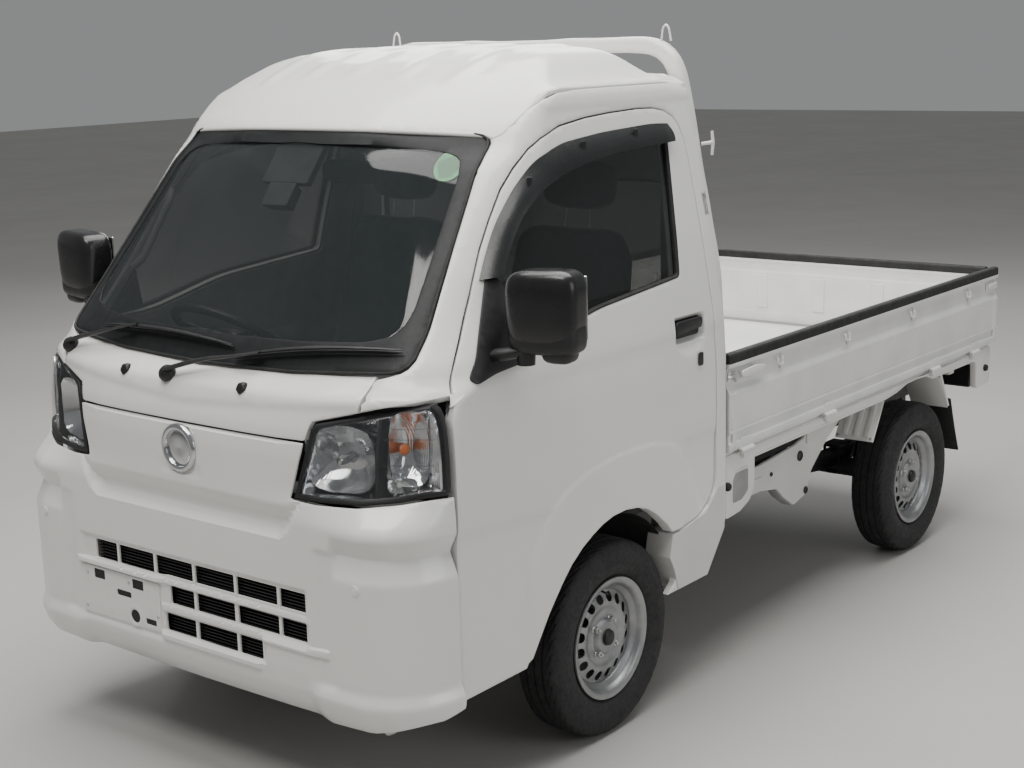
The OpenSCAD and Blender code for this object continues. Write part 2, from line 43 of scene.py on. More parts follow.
# ---------------------------------------------------------------- materials
def material(name, color, color2=None, rough=0.5, rough2=None, metallic=0.0, coat=0.0, scale=6.0, bump=0.0,
             bump_scale=120.0, alpha=1.0, transmission=0.0, spec=0.5, pattern="noise", sheen=0.0, emit=None, stretch=(1, 1, 1)):
    m = bpy.data.materials.new(name)
    m.use_nodes = True
    nt = m.node_tree
    bs = nt.nodes["Principled BSDF"]
    tc = nt.nodes.new("ShaderNodeTexCoord")
    mp = nt.nodes.new("ShaderNodeMapping")
    mp.inputs["Scale"].default_value = stretch
    nt.links.new(tc.outputs["Object"], mp.inputs["Vector"])
    nz = nt.nodes.new("ShaderNodeTexNoise")
    nz.inputs["Scale"].default_value = scale
    nz.inputs["Detail"].default_value = 5.0
    nt.links.new(mp.outputs["Vector"], nz.inputs["Vector"])
    c2 = color2 or tuple(c * 0.86 for c in color)
    ramp = nt.nodes.new("ShaderNodeValToRGB")
    ramp.color_ramp.elements[0].position = 0.32
    ramp.color_ramp.elements[0].color = (*c2, 1)
    ramp.color_ramp.elements[1].position = 0.62
    ramp.color_ramp.elements[1].color = (*color, 1)
    nt.links.new(nz.outputs["Fac"], ramp.inputs["Fac"])
    nt.links.new(ramp.outputs["Color"], bs.inputs["Base Color"])
    r2 = rough2 if rough2 is not None else min(1.0, rough + 0.12)
    mr = nt.nodes.new("ShaderNodeMapRange")
    mr.inputs["From Min"].default_value = 0.3
    mr.inputs["From Max"].default_value = 0.7
    mr.inputs["To Min"].default_value = rough
    mr.inputs["To Max"].default_value = r2
    nz2 = nt.nodes.new("ShaderNodeTexNoise")
    nz2.inputs["Scale"].default_value = scale * 3.1
    nt.links.new(mp.outputs["Vector"], nz2.inputs["Vector"])
    nt.links.new(nz2.outputs["Fac"], mr.inputs["Value"])
    nt.links.new(mr.outputs["Result"], bs.inputs["Roughness"])
    bs.inputs["Metallic"].default_value = metallic
    bs.inputs["Coat Weight"].default_value = coat
    bs.inputs["Coat Roughness"].default_value = 0.12
    bs.inputs["Alpha"].default_value = alpha
    bs.inputs["Transmission Weight"].default_value = transmission
    bs.inputs["Specular IOR Level"].default_value = spec
    if sheen:
        bs.inputs["Sheen Weight"].default_value = sheen
    if bump:
        bp = nt.nodes.new("ShaderNodeBump")
        bp.inputs["Strength"].default_value = bump
        bp.inputs["Distance"].default_value = 0.001
        if pattern == "noise":
            t = nt.nodes.new("ShaderNodeTexNoise")
            t.inputs["Scale"].default_value = bump_scale
            t.inputs["Detail"].default_value = 3.0
            out = t.outputs["Fac"]
        elif pattern == "voronoi":
            t = nt.nodes.new("ShaderNodeTexVoronoi")
            t.inputs["Scale"].default_value = bump_scale
            out = t.outputs["Distance"]
        else:
            t = nt.nodes.new("ShaderNodeTexWave")
            t.inputs["Scale"].default_value = bump_scale
            t.inputs["Distortion"].default_value = 0.6
            t.bands_direction = pattern
            out = t.outputs["Fac"]
        nt.links.new(mp.outputs["Vector"], t.inputs["Vector"])
        nt.links.new(out, bp.inputs["Height"])
        nt.links.new(bp.outputs["Normal"], bs.inputs["Normal"])
    if alpha < 1:
        m.blend_method = "BLEND"
    return m


def weave(name, color, color2, scale=420.0):
    """cloth with a crossed weave in its bump"""
    m = material(name, color, color2, rough=0.85, rough2=0.97, scale=14.0, sheen=0.25)
    nt = m.node_tree
    bs = nt.nodes["Principled BSDF"]
    mp = [n for n in nt.nodes if n.type == "MAPPING"][0]
    w = []
    for d in ("X", "Z"):
        t = nt.nodes.new("ShaderNodeTexWave")
        t.inputs["Scale"].default_value = scale / 2
        t.inputs["Distortion"].default_value = 1.2
        t.bands_direction = d
        nt.links.new(mp.outputs["Vector"], t.inputs["Vector"])
        w.append(t)
    mul = nt.nodes.new("ShaderNodeMath")
    mul.operation = "MAXIMUM"
    nt.links.new(w[0].outputs["Fac"], mul.inputs[0])
    nt.links.new(w[1].outputs["Fac"], mul.inputs[1])
    bp = nt.nodes.new("ShaderNodeBump")
    bp.inputs["Strength"].default_value = 0.5
    bp.inputs["Distance"].default_value = 0.0012
    nt.links.new(mul.outputs["Value"], bp.inputs["Height"])
    nt.links.new(bp.outputs["Normal"], bs.inputs["Normal"])
    return m


M = {}
M["white"] = material("body_paint", (0.80, 0.795, 0.765), (0.765, 0.76, 0.73), rough=0.30, rough2=0.38, coat=0.55, scale=2.2, bump=0.03, bump_scale=240)
M["white_inner"] = material("inner_paint", (0.66, 0.655, 0.63), (0.60, 0.595, 0.57), rough=0.45, rough2=0.6, scale=5, bump=0.05, bump_scale=160)
M["bed"] = material("bed_paint", (0.78, 0.775, 0.75), (0.70, 0.70, 0.675), rough=0.38, rough2=0.52, coat=0.25, scale=7, bump=0.06, bump_scale=120)
M["black"] = material("black_plastic", (0.014, 0.014, 0.015), (0.009, 0.009, 0.010), rough=0.38, rough2=0.5, scale=12, bump=0.12, bump_scale=900)
M["mirror_black"] = material("mirror_shell", (0.009, 0.009, 0.010), (0.006, 0.006, 0.007), rough=0.24, rough2=0.34, scale=9, bump=0.03, bump_scale=700, coat=0.15)
M["rubber"] = material("rubber", (0.018, 0.018, 0.018), (0.010, 0.010, 0.010), rough=0.62, rough2=0.78, scale=18, bump=0.15, bump_scale=500)
M["tyre"] = material("tyre_rubber", (0.018, 0.018, 0.019), (0.010, 0.010, 0.011), rough=0.62, rough2=0.82, scale=26, bump=0.3, bump_scale=420)
M["rim"] = material("rim_silver", (0.36, 0.365, 0.37), (0.29, 0.295, 0.30), rough=0.34, rough2=0.46, metallic=0.85, scale=22, bump=0.08, bump_scale=600)
M["steel"] = material("zinc_steel", (0.62, 0.62, 0.60), (0.46, 0.46, 0.45), rough=0.32, rough2=0.5, metallic=0.85, scale=30, bump=0.12, bump_scale=500)
M["chassis"] = material("chassis_paint", (0.030, 0.030, 0.032), (0.018, 0.018, 0.019), rough=0.48, rough2=0.66, scale=14, bump=0.25, bump_scale=260)
M["cast"] = material("cast_metal", (0.24, 0.24, 0.25), (0.13, 0.13, 0.135), rough=0.5, rough2=0.7, metallic=0.7, scale=16, bump=0.5, bump_scale=330)
M["chrome"] = material("chrome", (0.62, 0.63, 0.64), (0.54, 0.55, 0.56), rough=0.08, rough2=0.16, metallic=1.0, scale=30, bump=0.02, bump_scale=300)
M["reflector"] = material("reflector", (0.88, 0.89, 0.90), (0.72, 0.73, 0.75), rough=0.08, rough2=0.18, metallic=1.0, scale=20, bump=0.25, bump_scale=60, pattern="X")
M["lens"] = material("lamp_lens", (0.10, 0.105, 0.11), (0.07, 0.075, 0.08), rough=0.03, rough2=0.06, alpha=0.14, scale=30, bump=0.06, bump_scale=40, pattern="Z", spec=1.0)
M["glass"] = material("tinted_glass", (0.012, 0.016, 0.016), (0.008, 0.011, 0.011), rough=0.02, rough2=0.05, alpha=0.50, scale=3, bump=0.005, bump_scale=8, spec=0.9)
M["shield"] = material("windshield_glass", (0.030, 0.038, 0.038), (0.022, 0.029, 0.029), rough=0.02, rough2=0.05, alpha=0.34, scale=3, bump=0.005, bump_scale=8, spec=0.9)
M["smoke"] = material("smoked_visor", (0.022, 0.023, 0.024), (0.016, 0.017, 0.018), rough=0.22, rough2=0.3, alpha=0.86, scale=6, bump=0.02, bump_scale=20, spec=0.5)
M["frit"] = material("glass_border", (0.016, 0.017, 0.018), (0.011, 0.012, 0.013), rough=0.42, rough2=0.5, scale=40, bump=0.02, bump_scale=400, spec=0.25)
M["cabin"] = material("cabin_plastic", (0.085, 0.085, 0.088), (0.060, 0.060, 0.063), rough=0.62, rough2=0.78, scale=20, bump=0.35, bump_scale=800, pattern="voronoi")
M["cabin_light"] = material("cabin_light_plastic", (0.34, 0.335, 0.325), (0.28, 0.275, 0.27), rough=0.65, rough2=0.8, scale=18, bump=0.35, bump_scale=700, pattern="voronoi")
M["headliner"] = material("headliner", (0.50, 0.49, 0.47), (0.43, 0.42, 0.40), rough=0.9, rough2=1.0, scale=30, bump=0.5, bump_scale=900)
M["cloth"] = weave("seat_cloth", (0.115, 0.115, 0.122), (0.080, 0.080, 0.086))
M["orange"] = material("amber_bulb", (0.75, 0.20, 0.04), (0.60, 0.13, 0.02), rough=0.15, rough2=0.25, scale=40, bump=0.05, bump_scale=200)
M["red"] = material("red_lens", (0.42, 0.012, 0.012), (0.30, 0.008, 0.008), rough=0.10, rough2=0.18, coat=0.6, scale=20, bump=0.35, bump_scale=60, pattern="Z")
M["amber"] = material("amber_lens", (0.70, 0.24, 0.03), (0.58, 0.17, 0.02), rough=0.12, rough2=0.2, coat=0.6, scale=20, bump=0.35, bump_scale=60, pattern="Z")
M["clear"] = material("clear_lens", (0.80, 0.80, 0.78), (0.68, 0.68, 0.66), rough=0.12, rough2=0.2, coat=0.6, scale=20, bump=0.35, bump_scale=60, pattern="Z")
M["mirror_glass"] = material("mirror_glass", (0.80, 0.82, 0.84), (0.75, 0.77, 0.79), rough=0.02, rough2=0.05, metallic=1.0, scale=5, bump=0.01, bump_scale=10)
M["sticker"] = material("round_sticker", (0.10, 0.30, 0.14), (0.08, 0.24, 0.11), rough=0.4, rough2=0.5, scale=60, bump=0.05, bump_scale=300)
M["mat"] = material("floor_mat", (0.030, 0.030, 0.030), (0.018, 0.018, 0.018), rough=0.85, rough2=0.95, scale=40, bump=0.7, bump_scale=200, pattern="X")


# ---------------------------------------------------------------- mesh helpers
class Geo:
    """collects vertices (mm) and faces with a material key each"""

    def __init__(self):
        self.v, self.f, self.m = [], [], []

    def add(self, v, f, mat=None):
        b = len(self.v)
        self.v += [tuple(float(c) for c in p) for p in v]
        self.f += [tuple(i + b for i in q) for q in f]
        self.m += [mat] * len(f)
        return self

    def mirrored(self):
        g = Geo()
        g.v = [(-x, y, z) for x, y, z in self.v]
        g.f = [tuple(reversed(q)) for q in self.f]
        g.m = list(self.m)
        return g

    def with_mirror(self):
        o = self.mirrored()
        b = len(self.v)
        self.v += o.v
        self.f += [tuple(i + b for i in q) for q in o.f]
        self.m += o.m
        return self


def emit(name, geo, body, mat, nodes=(), sharp=40.0, smooth=True):
    """mesh object from a Geo; mat is the default material key"""
    me = bpy.data.meshes.new(name)
    me.from_pydata([(x * MM, y * MM, z * MM) for x, y, z in geo.v], [], geo.f)
    keys = []
    for k in geo.m:
        k = k or mat
        if k not in keys:
            keys.append(k)
    for k in keys:
        me.materials.append(M[k])
    me.polygons.foreach_set("material_index", [keys.index(k or mat) for k in geo.m])
    me.polygons.foreach_set("use_smooth", [smooth] * len(me.polygons))
    me.validate()
    me.update()
    if smooth:
        me.set_sharp_from_angle(angle=math.radians(sharp))
    o = bpy.data.objects.new(name, me)
    COL.objects.link(o)
    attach(o, body)
    if nodes:
        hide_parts(*nodes)
    return o


def rot(v, ax, deg, at=(0, 0, 0)):
    m = np.array(Matrix.Rotation(math.radians(deg), 3, ax))
    return (np.array(v, float) - at) @ m.T + at


def unit(v):
    v = np.array(v, float)
    return v / (np.linalg.norm(v) + 1e-12)


def block(x0, x1, y0, y1, z0, z1, r=2.0):
    """box with chamfered-round edges: verts, faces"""
    r = min(r, (x1 - x0) * 0.45, (y1 - y0) * 0.45, (z1 - z0) * 0.45)
    c = np.array([(x0 + x1) / 2, (y0 + y1) / 2, (z0 + z1) / 2])
    h = np.array([(x1 - x0) / 2, (y1 - y0) / 2, (z1 - z0) / 2])
    vs, idx = [], {}
    for sx in (-1, 1):
        for sy in (-1, 1):
            for sz in (-1, 1):
                s = (sx, sy, sz)
                for a in range(3):
                    p = [h[k] - (r if k != a else 0) for k in range(3)]
                    idx[(s, a)] = len(vs)
                    vs.append(c + np.array(p) * s)
                idx[(s, 3)] = len(vs)
                vs.append(c + (h - r * 0.42) * s)
    fs = []
    for a in range(3):
        u, w = (a + 1) % 3, (a + 2) % 3
        for sa in (-1, 1):
            q = []
            for su, sw in ((-1, -1), (1, -1), (1, 1), (-1, 1)):
                s = [0, 0, 0]
                s[a], s[u], s[w] = sa, su, sw
                q.append(idx[(tuple(s), a)])
            fs.append(tuple(q if sa > 0 else reversed(q)))
    for a in range(3):
        u, w = (a + 1) % 3, (a + 2) % 3
        for su in (-1, 1):
            for sw in (-1, 1):
                def k(sa, which):
                    s = [0, 0, 0]
                    s[a], s[u], s[w] = sa, su, sw
                    return idx[(tuple(s), which)]
                q = [k(-1, u), k(1, u), k(1, 3), k(-1, 3)]
                q2 = [k(-1, 3), k(1, 3), k(1, w), k(-1, w)]
                flip = su * sw < 0
                fs.append(tuple(reversed(q)) if flip else tuple(q))
                fs.append(tuple(reversed(q2)) if flip else tuple(q2))
    for sx in (-1, 1):
        for sy in (-1, 1):
            for sz in (-1, 1):
                s = (sx, sy, sz)
                t = [idx[(s, 0)], idx[(s, 1)], idx[(s, 2)], idx[(s, 3)]]
                sg = sx * sy * sz
                for a in range(3):
                    tri = (t[a], t[(a + 1) % 3], t[3])
                    fs.append(tri if sg > 0 else tuple(reversed(tri)))
    return np.array(vs), fs


def fix(vs, fs):
    """turns a closed mesh's faces outward"""
    v = np.array(vs, float)
    vol = 0.0
    for q in fs:
        for i in range(1, len(q) - 1):
            vol += np.dot(v[q[0]], np.cross(v[q[i]], v[q[i + 1]]))
    return [tuple(reversed(q)) for q in fs] if vol < 0 else list(fs)


def tube(path, r, n=12, cap=True, flat=1.0):
    """round tube along path points; r is a number or one per point"""
    p = np.array(path, float)
    rr = np.full(len(p), r, float) if np.isscalar(r) else np.array(r, float)
    t = np.gradient(p, axis=0)
    t /= np.linalg.norm(t, axis=1)[:, None] + 1e-12
    up = np.array([0, 0, 1.0]) if abs(t[0][2]) < 0.9 else np.array([0, 1.0, 0])
    a = unit(np.cross(t[0], up))
    vs, fs = [], []
    for i in range(len(p)):
        a = unit(a - t[i] * np.dot(a, t[i]))
        b = np.cross(t[i], a)
        for k in range(n):
            g = 2 * math.pi * k / n
            vs.append(p[i] + (a * math.cos(g) + b * math.sin(g) * flat) * rr[i])
    for i in range(len(p) - 1):
        for k in range(n):
            fs.append((i * n + k, i * n + (k + 1) % n, (i + 1) * n + (k + 1) % n, (i + 1) * n + k))
    if cap:
        fs.append(tuple(reversed(range(n))))
        fs.append(tuple((len(p) - 1) * n + k for k in range(n)))
    return np.array(vs), fix(vs, fs)


def arc_path(pts, r=20, n=5):
    """polyline with rounded corners"""
    p = np.array(pts, float)
    out = [p[0]]
    for i in range(1, len(p) - 1):
        a, b = p[i - 1] - p[i], p[i + 1] - p[i]
        la, lb = np.linalg.norm(a), np.linalg.norm(b)
        d = min(r, la * 0.45, lb * 0.45)
        s, e = p[i] + a / la * d, p[i] + b / lb * d
        for k in range(n + 1):
            u = k / n
            out.append((1 - u) ** 2 * s + 2 * u * (1 - u) * p[i] + u * u * e)
    out.append(p[-1])
    return np.array(out)


def lathe(profile, n=64, axis="X", at=(0, 0, 0), closed=False, a0=0.0, a1=360.0):
    """profile of (along, radius) turned about an axis"""
    pr = np.array(profile, float)
    full = abs(a1 - a0) >= 360
    ns = n if full else n + 1
    vs, fs = [], []
    for i in range(ns):
        g = math.radians(a0 + (a1 - a0) * i / n)
        for s, r in pr:
            c, d = r * math.cos(g), r * math.sin(g)
            v = {"X": (s, c, d), "Y": (d, s, c), "Z": (c, d, s)}[axis]
            vs.append((v[0] + at[0], v[1] + at[1], v[2] + at[2]))
    m = len(pr)
    for i in range(n):
        j = (i + 1) % ns
        for k in range(m if closed else m - 1):
            l = (k + 1) % m
            fs.append((i * m + k, i * m + l, j * m + l, j * m + k))
    return np.array(vs), fs


def prism(poly, axis, a, b, r=0.0):
    """polygon extruded along an axis; axis X: poly is (y, z), Y: (x, z), Z: (x, y); r rounds the end edges"""
    p = np.array(poly, float)
    n = len(p)
    area = 0.5 * np.sum(p[:, 0] * np.roll(p[:, 1], -1) - np.roll(p[:, 0], -1) * p[:, 1])
    if area < 0:
        p = p[::-1]
    layers = [(a, 0), (b, 0)] if r <= 0 else [(a, r), (a + r * 0.3, r * 0.3), (a + r, 0), (b - r, 0), (b - r * 0.3, r * 0.3), (b, r)]
    vs = []
    for s, ins in layers:
        q = inset(p, ins) if ins else p
        for u, w in q:
            vs.append({"X": (s, u, w), "Y": (u, s, w), "Z": (u, w, s)}[axis])
    fs = []
    for l in range(len(layers) - 1):
        for k in range(n):
            fs.append((l * n + k, l * n + (k + 1) % n, (l + 1) * n + (k + 1) % n, (l + 1) * n + k))
    fs.append(tuple(reversed(range(n))))
    fs.append(tuple((len(layers) - 1) * n + k for k in range(n)))
    return np.array(vs), fix(vs, fs)


def inset(p, d):
    """moves a closed counter-clockwise outline inward by d"""
    p = np.array(p, float)
    a, b = np.roll(p, 1, 0), np.roll(p, -1, 0)
    e1, e2 = p - a, b - p
    e1 /= np.linalg.norm(e1, axis=1)[:, None] + 1e-9
    e2 /= np.linalg.norm(e2, axis=1)[:, None] + 1e-9
    n1, n2 = np.stack([-e1[:, 1], e1[:, 0]], 1), np.stack([-e2[:, 1], e2[:, 0]], 1)
    m = n1 + n2
    l = np.linalg.norm(m, axis=1)[:, None] + 1e-9
    m /= l
    c = np.clip(np.sum(m * n1, 1), 0.55, 1)[:, None]
    return p + m * d / c


def rounded(poly, r, n=5):
    """closed outline with rounded corners; r is a number or one per corner"""
    p = np.array(poly, float)
    rr = np.full(len(p), r, float) if np.isscalar(r) else np.array(r, float)
    out = []
    for i in range(len(p)):
        a, b = p[i - 1] - p[i], p[(i + 1) % len(p)] - p[i]
        la, lb = np.linalg.norm(a), np.linalg.norm(b)
        d = min(rr[i], la * 0.48, lb * 0.48)
        if d < 0.3:
            out.append(p[i])
            continue
        s, e = p[i] + a / la * d, p[i] + b / lb * d
        for k in range(n + 1):
            u = k / n
            out.append((1 - u) ** 2 * s + 2 * u * (1 - u) * p[i] + u * u * e)
    return np.array(out)


def dense(poly, step):
    p = np.array(poly, float)
    out = []
    for i in range(len(p)):
        a, b = p[i], p[(i + 1) % len(p)]
        n = max(1, int(math.ceil(np.linalg.norm(b - a) / step)))
        for k in range(n):
            out.append(a + (b - a) * k / n)
    return np.array(out)


def rect(x0, x1, z0, z1, r=3.0, n=3):
    return rounded([(x0, z0), (x1, z0), (x1, z1), (x0, z1)], r, n)


def ccw(p):
    p = np.array(p, float)
    a = np.sum(p[:, 0] * np.roll(p[:, 1], -1) - np.roll(p[:, 0], -1) * p[:, 1])
    return p if a > 0 else p[::-1]


def in_poly(q, poly):
    x, y = q[:, 0], q[:, 1]
    r = np.zeros(len(q), bool)
    a, b = poly, np.roll(poly, -1, 0)
    for (x1, y1), (x2, y2) in zip(a, b):
        if y1 == y2:
            continue
        c = (y1 > y) != (y2 > y)
        xi = (x2 - x1) * (y - y1) / (y2 - y1) + x1
        r ^= c & (x < xi)
    return r


def seg_dist(q, poly, closed=True):
    """least distance of points to an outline"""
    best = np.full(len(q), 1e9)
    n = len(poly)
    for i in range(n if closed else n - 1):
        a, b = poly[i], poly[(i + 1) % n]
        ab = b - a
        t = np.clip(((q - a) @ ab) / (ab @ ab + 1e-9), 0, 1)
        best = np.minimum(best, np.linalg.norm(q - a - t[:, None] * ab, axis=1))
    return best


def signed(q, poly):
    """distance, positive inside"""
    d = seg_dist(q, poly)
    return np.where(in_poly(q, poly), d, -d)


def patch(surf, loops, cols, rows, thick=14.0, roll=3.0, closed=True, extra=None):
    """sheet-metal panel on surf(P)->points: loops are outlines in the parameter plane (first outer), edges rolled inward"""
    outer = ccw(loops[0])
    holes = [ccw(h)[::-1] for h in loops[1:]]
    nominal = [outer] + holes
    main = [inset(l, roll) for l in nominal]
    gx, gy = np.meshgrid(cols, rows)
    g = np.stack([gx.ravel(), gy.ravel()], 1)
    if extra is not None:
        g = np.vstack([g, extra])
    ok = in_poly(g, main[0])
    for h in main[1:]:
        ok &= ~in_poly(g, h)
    g = g[ok]
    for l in main:
        near = np.full(len(g), 1e9)
        for i in range(0, len(l), 400):
            near = np.minimum(near, np.sqrt(((g[:, None, :] - l[None, i:i + 400]) ** 2).sum(2)).min(1))
        g = g[near > 3.2]
    pts, edges, at = [], [], []
    for l in main:
        b = len(pts)
        at.append((b, len(l)))
        pts += [tuple(p) for p in l]
        edges += [(b + i, b + (i + 1) % len(l)) for i in range(len(l))]
    pts += [tuple(p) for p in g]
    co, _, tri, ov, _, _ = delaunay_2d_cdt([Vector(p) for p in pts], edges, [], 0, 1e-4)
    c2 = np.array([(v[0], v[1]) for v in co])
    where = {}
    for i, l in enumerate(ov):
        for k in l:
            where[k] = i
    tri = np.array([t for t in tri if len(t) == 3])
    cen = c2[tri].mean(1)
    ok = in_poly(cen, main[0])
    for h in main[1:]:
        ok &= ~in_poly(cen, h)
    tri = tri[ok]
    S, N = frame_of(surf, c2)
    geo = Geo()
    verts = [S]
    faces = [tuple(t) for t in tri]
    base = len(S)
    if closed:
        verts.append(S - N * thick)
        faces += [tuple(i + base for i in reversed(t)) for t in tri]
        inner = base
        base += len(S)
    for li, l in enumerate(nominal):
        P, Q = frame_of(surf, l)
        n = len(l)
        verts += [P - Q * (roll * 0.3), P - Q * roll, P - Q * thick]
        b0, _ = at[li]
        m = [where[b0 + i] for i in range(n)]
        # a point between, for a round edge
        h = (S[m] + P) / 2 - Q * (roll * 0.08)
        verts[-3] = P * 0.7 + S[m] * 0.3 - Q * (roll * 0.3)
        r1, r2, r3 = base, base + n, base + 2 * n
        for i in range(n):
            j = (i + 1) % n
            faces.append((m[j], m[i], r1 + i, r1 + j))
            faces.append((r1 + j, r1 + i, r2 + i, r2 + j))
            faces.append((r2 + j, r2 + i, r3 + i, r3 + j))
            if closed:
                faces.append((r3 + j, r3 + i, inner + m[i], inner + m[j]))
        base += 3 * n
    geo.add(np.vstack(verts), faces)
    return geo


def frame_of(surf, P, e=1.2):
    S = surf(P)
    du = surf(P + [e, 0]) - surf(P - [e, 0])
    dv = surf(P + [0, e]) - surf(P - [0, e])
    N = np.cross(du, dv)
    N /= np.linalg.norm(N, axis=1)[:, None] + 1e-12
    return S, N


def span(a, b, step):
    n = max(1, int(round((b - a) / step)))
    return np.linspace(a, b, n + 1)


def cuts(parts):
    """joined spans: [(a, step, b, step, c)]"""
    out = []
    for i in range(0, len(parts) - 2, 2):
        out.append(span(parts[i], parts[i + 2], parts[i + 1]))
    return np.unique(np.round(np.concatenate(out), 3))


def sstep(x, a, b):
    t = np.clip((x - a) / (b - a), 0, 1)
    return t * t * (3 - 2 * t)


def window(x, a, b, e):
    return sstep(x, a - e / 2, a + e / 2) * (1 - sstep(x, b - e / 2, b + e / 2))


# ---------------------------------------------------------------- body surface
def table(knots, s, step=2.0):
    k = np.array(knots, float)
    g = np.arange(k[0, 0] - 200, k[-1, 0] + 200, step)
    v = np.interp(g, k[:, 0], k[:, 1])
    lo, hi = g < k[0, 0], g > k[-1, 0]
    v[lo] = k[0, 1] + (g[lo] - k[0, 0]) * (k[1, 1] - k[0, 1]) / (k[1, 0] - k[0, 0])
    v[hi] = k[-1, 1] + (g[hi] - k[-1, 0]) * (k[-1, 1] - k[-2, 1]) / (k[-1, 0] - k[-2, 0])
    if s > 0:
        t = np.arange(-3 * s, 3 * s + step, step)
        w = np.exp(-0.5 * (t / s) ** 2)
        w /= w.sum()
        v = np.convolve(np.pad(v, len(w) // 2, mode="edge"), w, "valid")[:len(g)]
    return lambda q: np.interp(q, g, v)


T = table([(200, 736.5), (850, 736.5), (950, 735.5), (1060, 727), (1170, 710), (1290, 690), (1440, 660), (1581, 632), (1660, 613), (1720, 598), (1850, 565)], 18)
YC = table([(150, -1560), (225, -1610), (250, -1640), (290, -1672), (330, -1686), (380, -1690), (640, -1690), (800, -1687), (900, -1684), (965, -1674), (1010, -1660), (1040, -1650), (1078, -1600), (1632, -1200), (1900, -1006)], 7)
DG = table([(0, 0), (180, 4), (330, 13), (460, 27), (560, 44), (597, 55), (640, 82), (680, 130), (715, 200), (760, 330)], 10)
DT = table([(0, 0), (180, 10), (330, 33), (460, 72), (540, 104), (575, 126), (605, 160), (630, 220), (680, 400)], 10)
DN = table([(0, 0), (200, 3), (330, 9), (430, 23), (560, 56), (650, 98), (700, 132), (725, 160), (740, 200), (770, 390)], 8)
DB = table([(0, 0), (420, 2), (590, 7), (655, 32), (708, 84), (730, 132), (745, 215), (800, 420)], 8)


def depth_at(x, z):
    u = np.abs(x)
    wb = 1 - sstep(z, 742, 835)
    wg = sstep(z, 1000, 1110)
    wt = np.clip((z - 1110) / 490, 0, 1.3)
    return DN(u) * (1 - wb) * (1 - wg) + DB(u) * wb + (DG(u) * (1 - wt) + DT(u) * wt) * wg


def smax(a, b, r):
    return np.minimum(np.maximum(a, b), -r) + np.hypot(np.maximum(a + r, 0), np.maximum(b + r, 0))


def body_f(x, y, z):
    a = np.abs(x) - T(z)
    c = 1 - 0.19 * sstep(z, 1040, 1100)
    b = -(y - YC(z) - depth_at(x, z)) * c
    f = smax(a, b, 16.0)
    hi = z > 1500
    if np.any(hi):
        r = (z - roof_z(x, y) + 2.0) * 0.85 - 60 * (1 - sstep(z, 1500, 1600))
        f = np.where(hi, smax(f, r, 12.0), f)
    return f


def cast(o, d, t1, f=body_f, n=30):
    lo, hi = np.zeros(len(o)), np.full(len(o), float(t1))
    for _ in range(n):
        m = (lo + hi) / 2
        p = o + d * m[:, None]
        ins = f(p[:, 0], p[:, 1], p[:, 2]) < 0
        lo = np.where(ins, m, lo)
        hi = np.where(ins, hi, m)
    return o + d * ((lo + hi) / 2)[:, None]


K = 700.0


def front_base(P):
    phi, z = P[:, 0] / K, P[:, 1]
    o = np.stack([np.zeros(len(P)), YC(z) + 600, z], 1)
    d = np.stack([np.sin(phi), -np.cos(phi), np.zeros(len(P))], 1)
    return cast(o, d, 1300)


def side_base(P):
    y, z = P[:, 0], P[:, 1]
    o = np.stack([np.zeros(len(P)), y, z], 1)
    d = np.tile([1.0, 0, 0], (len(P), 1))
    return cast(o, d, 900)


def to_phi(pts):
    p = np.array(pts, float)
    return np.stack([np.arctan2(p[:, 0], YC(p[:, 2]) + 600 - p[:, 1]) * K, p[:, 2]], 1)


def fx(pts):
    """(x, z) on the nose to the front plane's parameters"""
    p = np.atleast_2d(np.array(pts, float))
    o = np.stack([p[:, 0], YC(p[:, 1]) + 600, p[:, 1]], 1)
    return to_phi(cast(o, np.tile([0, -1.0, 0], (len(p), 1)), 1300))


def fy(pts):
    """(y, z) on the left side to the front plane's parameters"""
    return to_phi(side_base(np.atleast_2d(np.array(pts, float))))


def displaced(base, disp):
    def surf(P):
        S, N = frame_of(base, P)
        return S + N * disp(S)[:, None]
    return surf


def mirror_loop(right):
    """right half from the bottom centre to the top centre, made whole"""
    r = np.array(right, float)
    return np.vstack([r, (r[::-1] * [-1, 1])[1:-1]])


# ---- bumper cover
PANEL_IN = ccw([(-418, 1000), (-393, 800), (-360, 787), (360, 787), (393, 800), (418, 1000)])
PANEL_OUT = ccw([(-440, 1000), (-411, 800), (-374, 728), (-340, 703), (340, 703), (374, 728), (411, 800), (440, 1000)])


